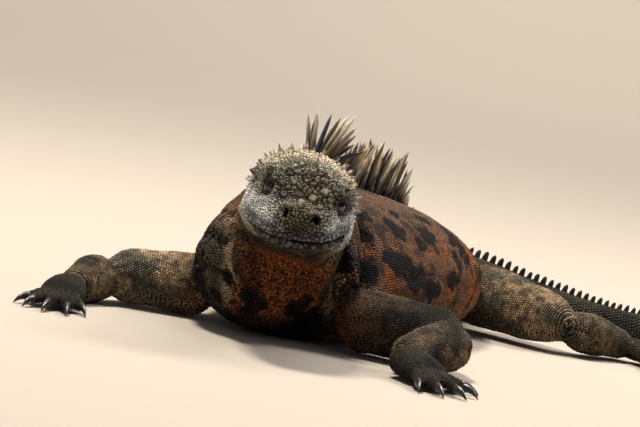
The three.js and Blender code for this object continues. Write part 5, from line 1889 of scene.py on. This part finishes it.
# roughness, how strong the painted highlight on the tips and the painted shade at the roots are, strength and
# fineness of the noise, bump in mm, specular level
hide = painted("hide", 0.72, 0.66, 0.4, 900, 0.35, 0.12)
horn = painted("horn", 0.45, 0.15, 0.3, 500, 0.2, 0.5)
claw_shine = painted("claw_shine", 0.28, 0, 0.15, 300, 0.05, 0.5)
eye_shine = painted("eye_shine", 0.05, 0, 0.1, 2500, 0, 0.6)
for pieces, material in (([skin, *coat], hide), ([spines], horn), (claws, claw_shine), (eyes, eye_shine)):
    for piece in pieces:
        piece.data.materials.clear()
        piece.data.materials.append(material)
print("materials", [m.name for m in (hide, horn, claw_shine, eye_shine)])

# %% [markdown]
# ## Hand over to the frame
# A still model has no joints, so every piece rides on the one body. The skin stands for all the nodes of
# flesh. It could be cut at their borders, but a living skin has none. Eyes and claws have stood for
# their own nodes since they were made.

# %% Ride and replace
only(skin)
bpy.ops.object.shade_smooth()
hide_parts(*[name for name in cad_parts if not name.startswith(("claw", "eye"))])
for piece in [skin, *coat, *eyes, *claws]:
    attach(piece, "root")
print("pieces", 1 + len(coat) + len(eyes) + len(claws))

# %% [markdown]
# ## Camera
# The photo was taken from low down, a little to the animal's left, with the camera tilted, which is why
# the animal seems to lean. The model stays level, and the camera has the tilt instead.

# %% Camera
CAMERA_TARGET = Vector((34, -72, 70)) * MM
CAMERA_AZIMUTH, CAMERA_HEIGHT, CAMERA_TILT = map(math.radians, (25, 4.75, 10))
CAMERA_FAR = 1150 * MM
LENS = 132.75
SENSOR = 36
PICTURE_WIDE = 640
# how far the target lies from the middle of the picture, in pixels to the right and up
AIM = Vector((-20, -1.5)) * SENSOR / PICTURE_WIDE / LENS

away = Vector((math.sin(CAMERA_AZIMUTH) * math.cos(CAMERA_HEIGHT),
               -math.cos(CAMERA_AZIMUTH) * math.cos(CAMERA_HEIGHT), math.sin(CAMERA_HEIGHT)))
level = Vector((math.cos(CAMERA_AZIMUTH), math.sin(CAMERA_AZIMUTH), 0))
upright = level.cross(-away)
right = math.cos(CAMERA_TILT) * level + math.sin(CAMERA_TILT) * upright
above = -math.sin(CAMERA_TILT) * level + math.cos(CAMERA_TILT) * upright
look = (-away - AIM.x * right - AIM.y * above).normalized()
right = (right - look * right.dot(look)).normalized()
bpy.ops.object.camera_add()
camera = bpy.context.object
camera.matrix_world = (Matrix.Translation(CAMERA_TARGET + away * CAMERA_FAR)
                       @ Matrix((right, right.cross(look), -look)).transposed().to_4x4())
camera.data.lens = LENS
camera.data.clip_start = 0.05
bpy.context.scene.camera = camera
print("camera at", tuple(round(c, 3) for c in camera.location))

# %% [markdown]
# ## Floor and light
# A shared part is shown in a plain studio. It could lie on a small board, but the board's edge would
# show behind it, so a pale floor runs far out and curves up into a wall at the back. The wall stands well
# beyond the place of a camera that looks at the animal from behind. The key light stands high, and a
# weaker one from behind draws the edges of the spines. Lamps that face away from the animal keep the far
# floor and the wall pale on every side, and the world's own pale light only fills the shadows.

# %% Floor and light
# metres, as the floor is large: how far back it starts to rise, the radius of the rise, and its size
SWEEP_BACK = 4.55
SWEEP_ROUND = 2.8
FLOOR_LONG, FLOOR_WIDE = 28, 24.5
bpy.ops.object.select_all(action="DESELECT")
bpy.ops.mesh.primitive_grid_add(x_subdivisions=2, y_subdivisions=120, size=1)
floor = bpy.context.object
floor.name = "studio_floor"
co = vertices(floor) * MM
run = co[:, 1] * FLOOR_LONG
bend = np.clip((run - SWEEP_BACK) / SWEEP_ROUND, 0, math.pi / 2)
straight = np.clip(run - SWEEP_BACK - SWEEP_ROUND * math.pi / 2, 0, None)
back = np.minimum(run, SWEEP_BACK) + SWEEP_ROUND * np.sin(bend)
rise = SWEEP_ROUND * (1 - np.cos(bend)) + straight
c, s = math.cos(CAMERA_AZIMUTH), math.sin(CAMERA_AZIMUTH)
across = co[:, 0] * FLOOR_WIDE
move_vertices(floor, np.column_stack([across * c - back * s, across * s + back * c, rise]) / MM)
bpy.ops.object.shade_smooth()
ground = bpy.data.materials.new("pale_floor")
ground.use_nodes = True
ground.node_tree.nodes["Principled BSDF"].inputs["Base Color"].default_value = (0.35, 0.3, 0.245, 1)
ground.node_tree.nodes["Principled BSDF"].inputs["Roughness"].default_value = 0.9
floor.data.materials.append(ground)
sky = bpy.data.worlds.new("pale_sky")
sky.use_nodes = True
sky.node_tree.nodes["Background"].inputs["Color"].default_value = (0.9, 0.93, 1, 1)
sky.node_tree.nodes["Background"].inputs["Strength"].default_value = 0.33
bpy.context.scene.world = sky
BELLY = (0, 0, 0.05)
WARM = (1, 0.97, 0.93)
# lamps: name, place, aim, power, size and colour
for name, place, aim, energy, size, colour in [
    ("key", (-0.35, -0.08, 1.65), BELLY, 46, 0.3, (1, 0.95, 0.87)),
    ("rim", (0.8, 0.9, 1.3), BELLY, 22, 0.5, (1, 0.96, 0.9)),
    ("top_back", (0.2, 2.0, 3.5), (-1.2, 3.5, 0.5), 160, 2.5, WARM),
    ("wall", (-1.2, 5.0, 4.2), (-3, 6.8, 1.2), 220, 3, WARM),
    ("far_left", (4.6, 0, 4), (8, 0, 0), 220, 3, WARM),
    ("far_right", (-4.6, 0, 4), (-8, 0, 0), 220, 3, WARM),
    ("far_front", (0, -4.6, 4), (0, -8, 0), 220, 3, WARM),
]:
    bpy.ops.object.light_add(type="AREA", location=place)
    light = bpy.context.object
    light.name = name
    light.data.energy = energy
    light.data.size = size
    light.data.color = colour
    light.rotation_euler = (Vector(aim) - light.location).to_track_quat("-Z", "Y").to_euler()
bpy.context.scene.view_settings.view_transform = "Standard"
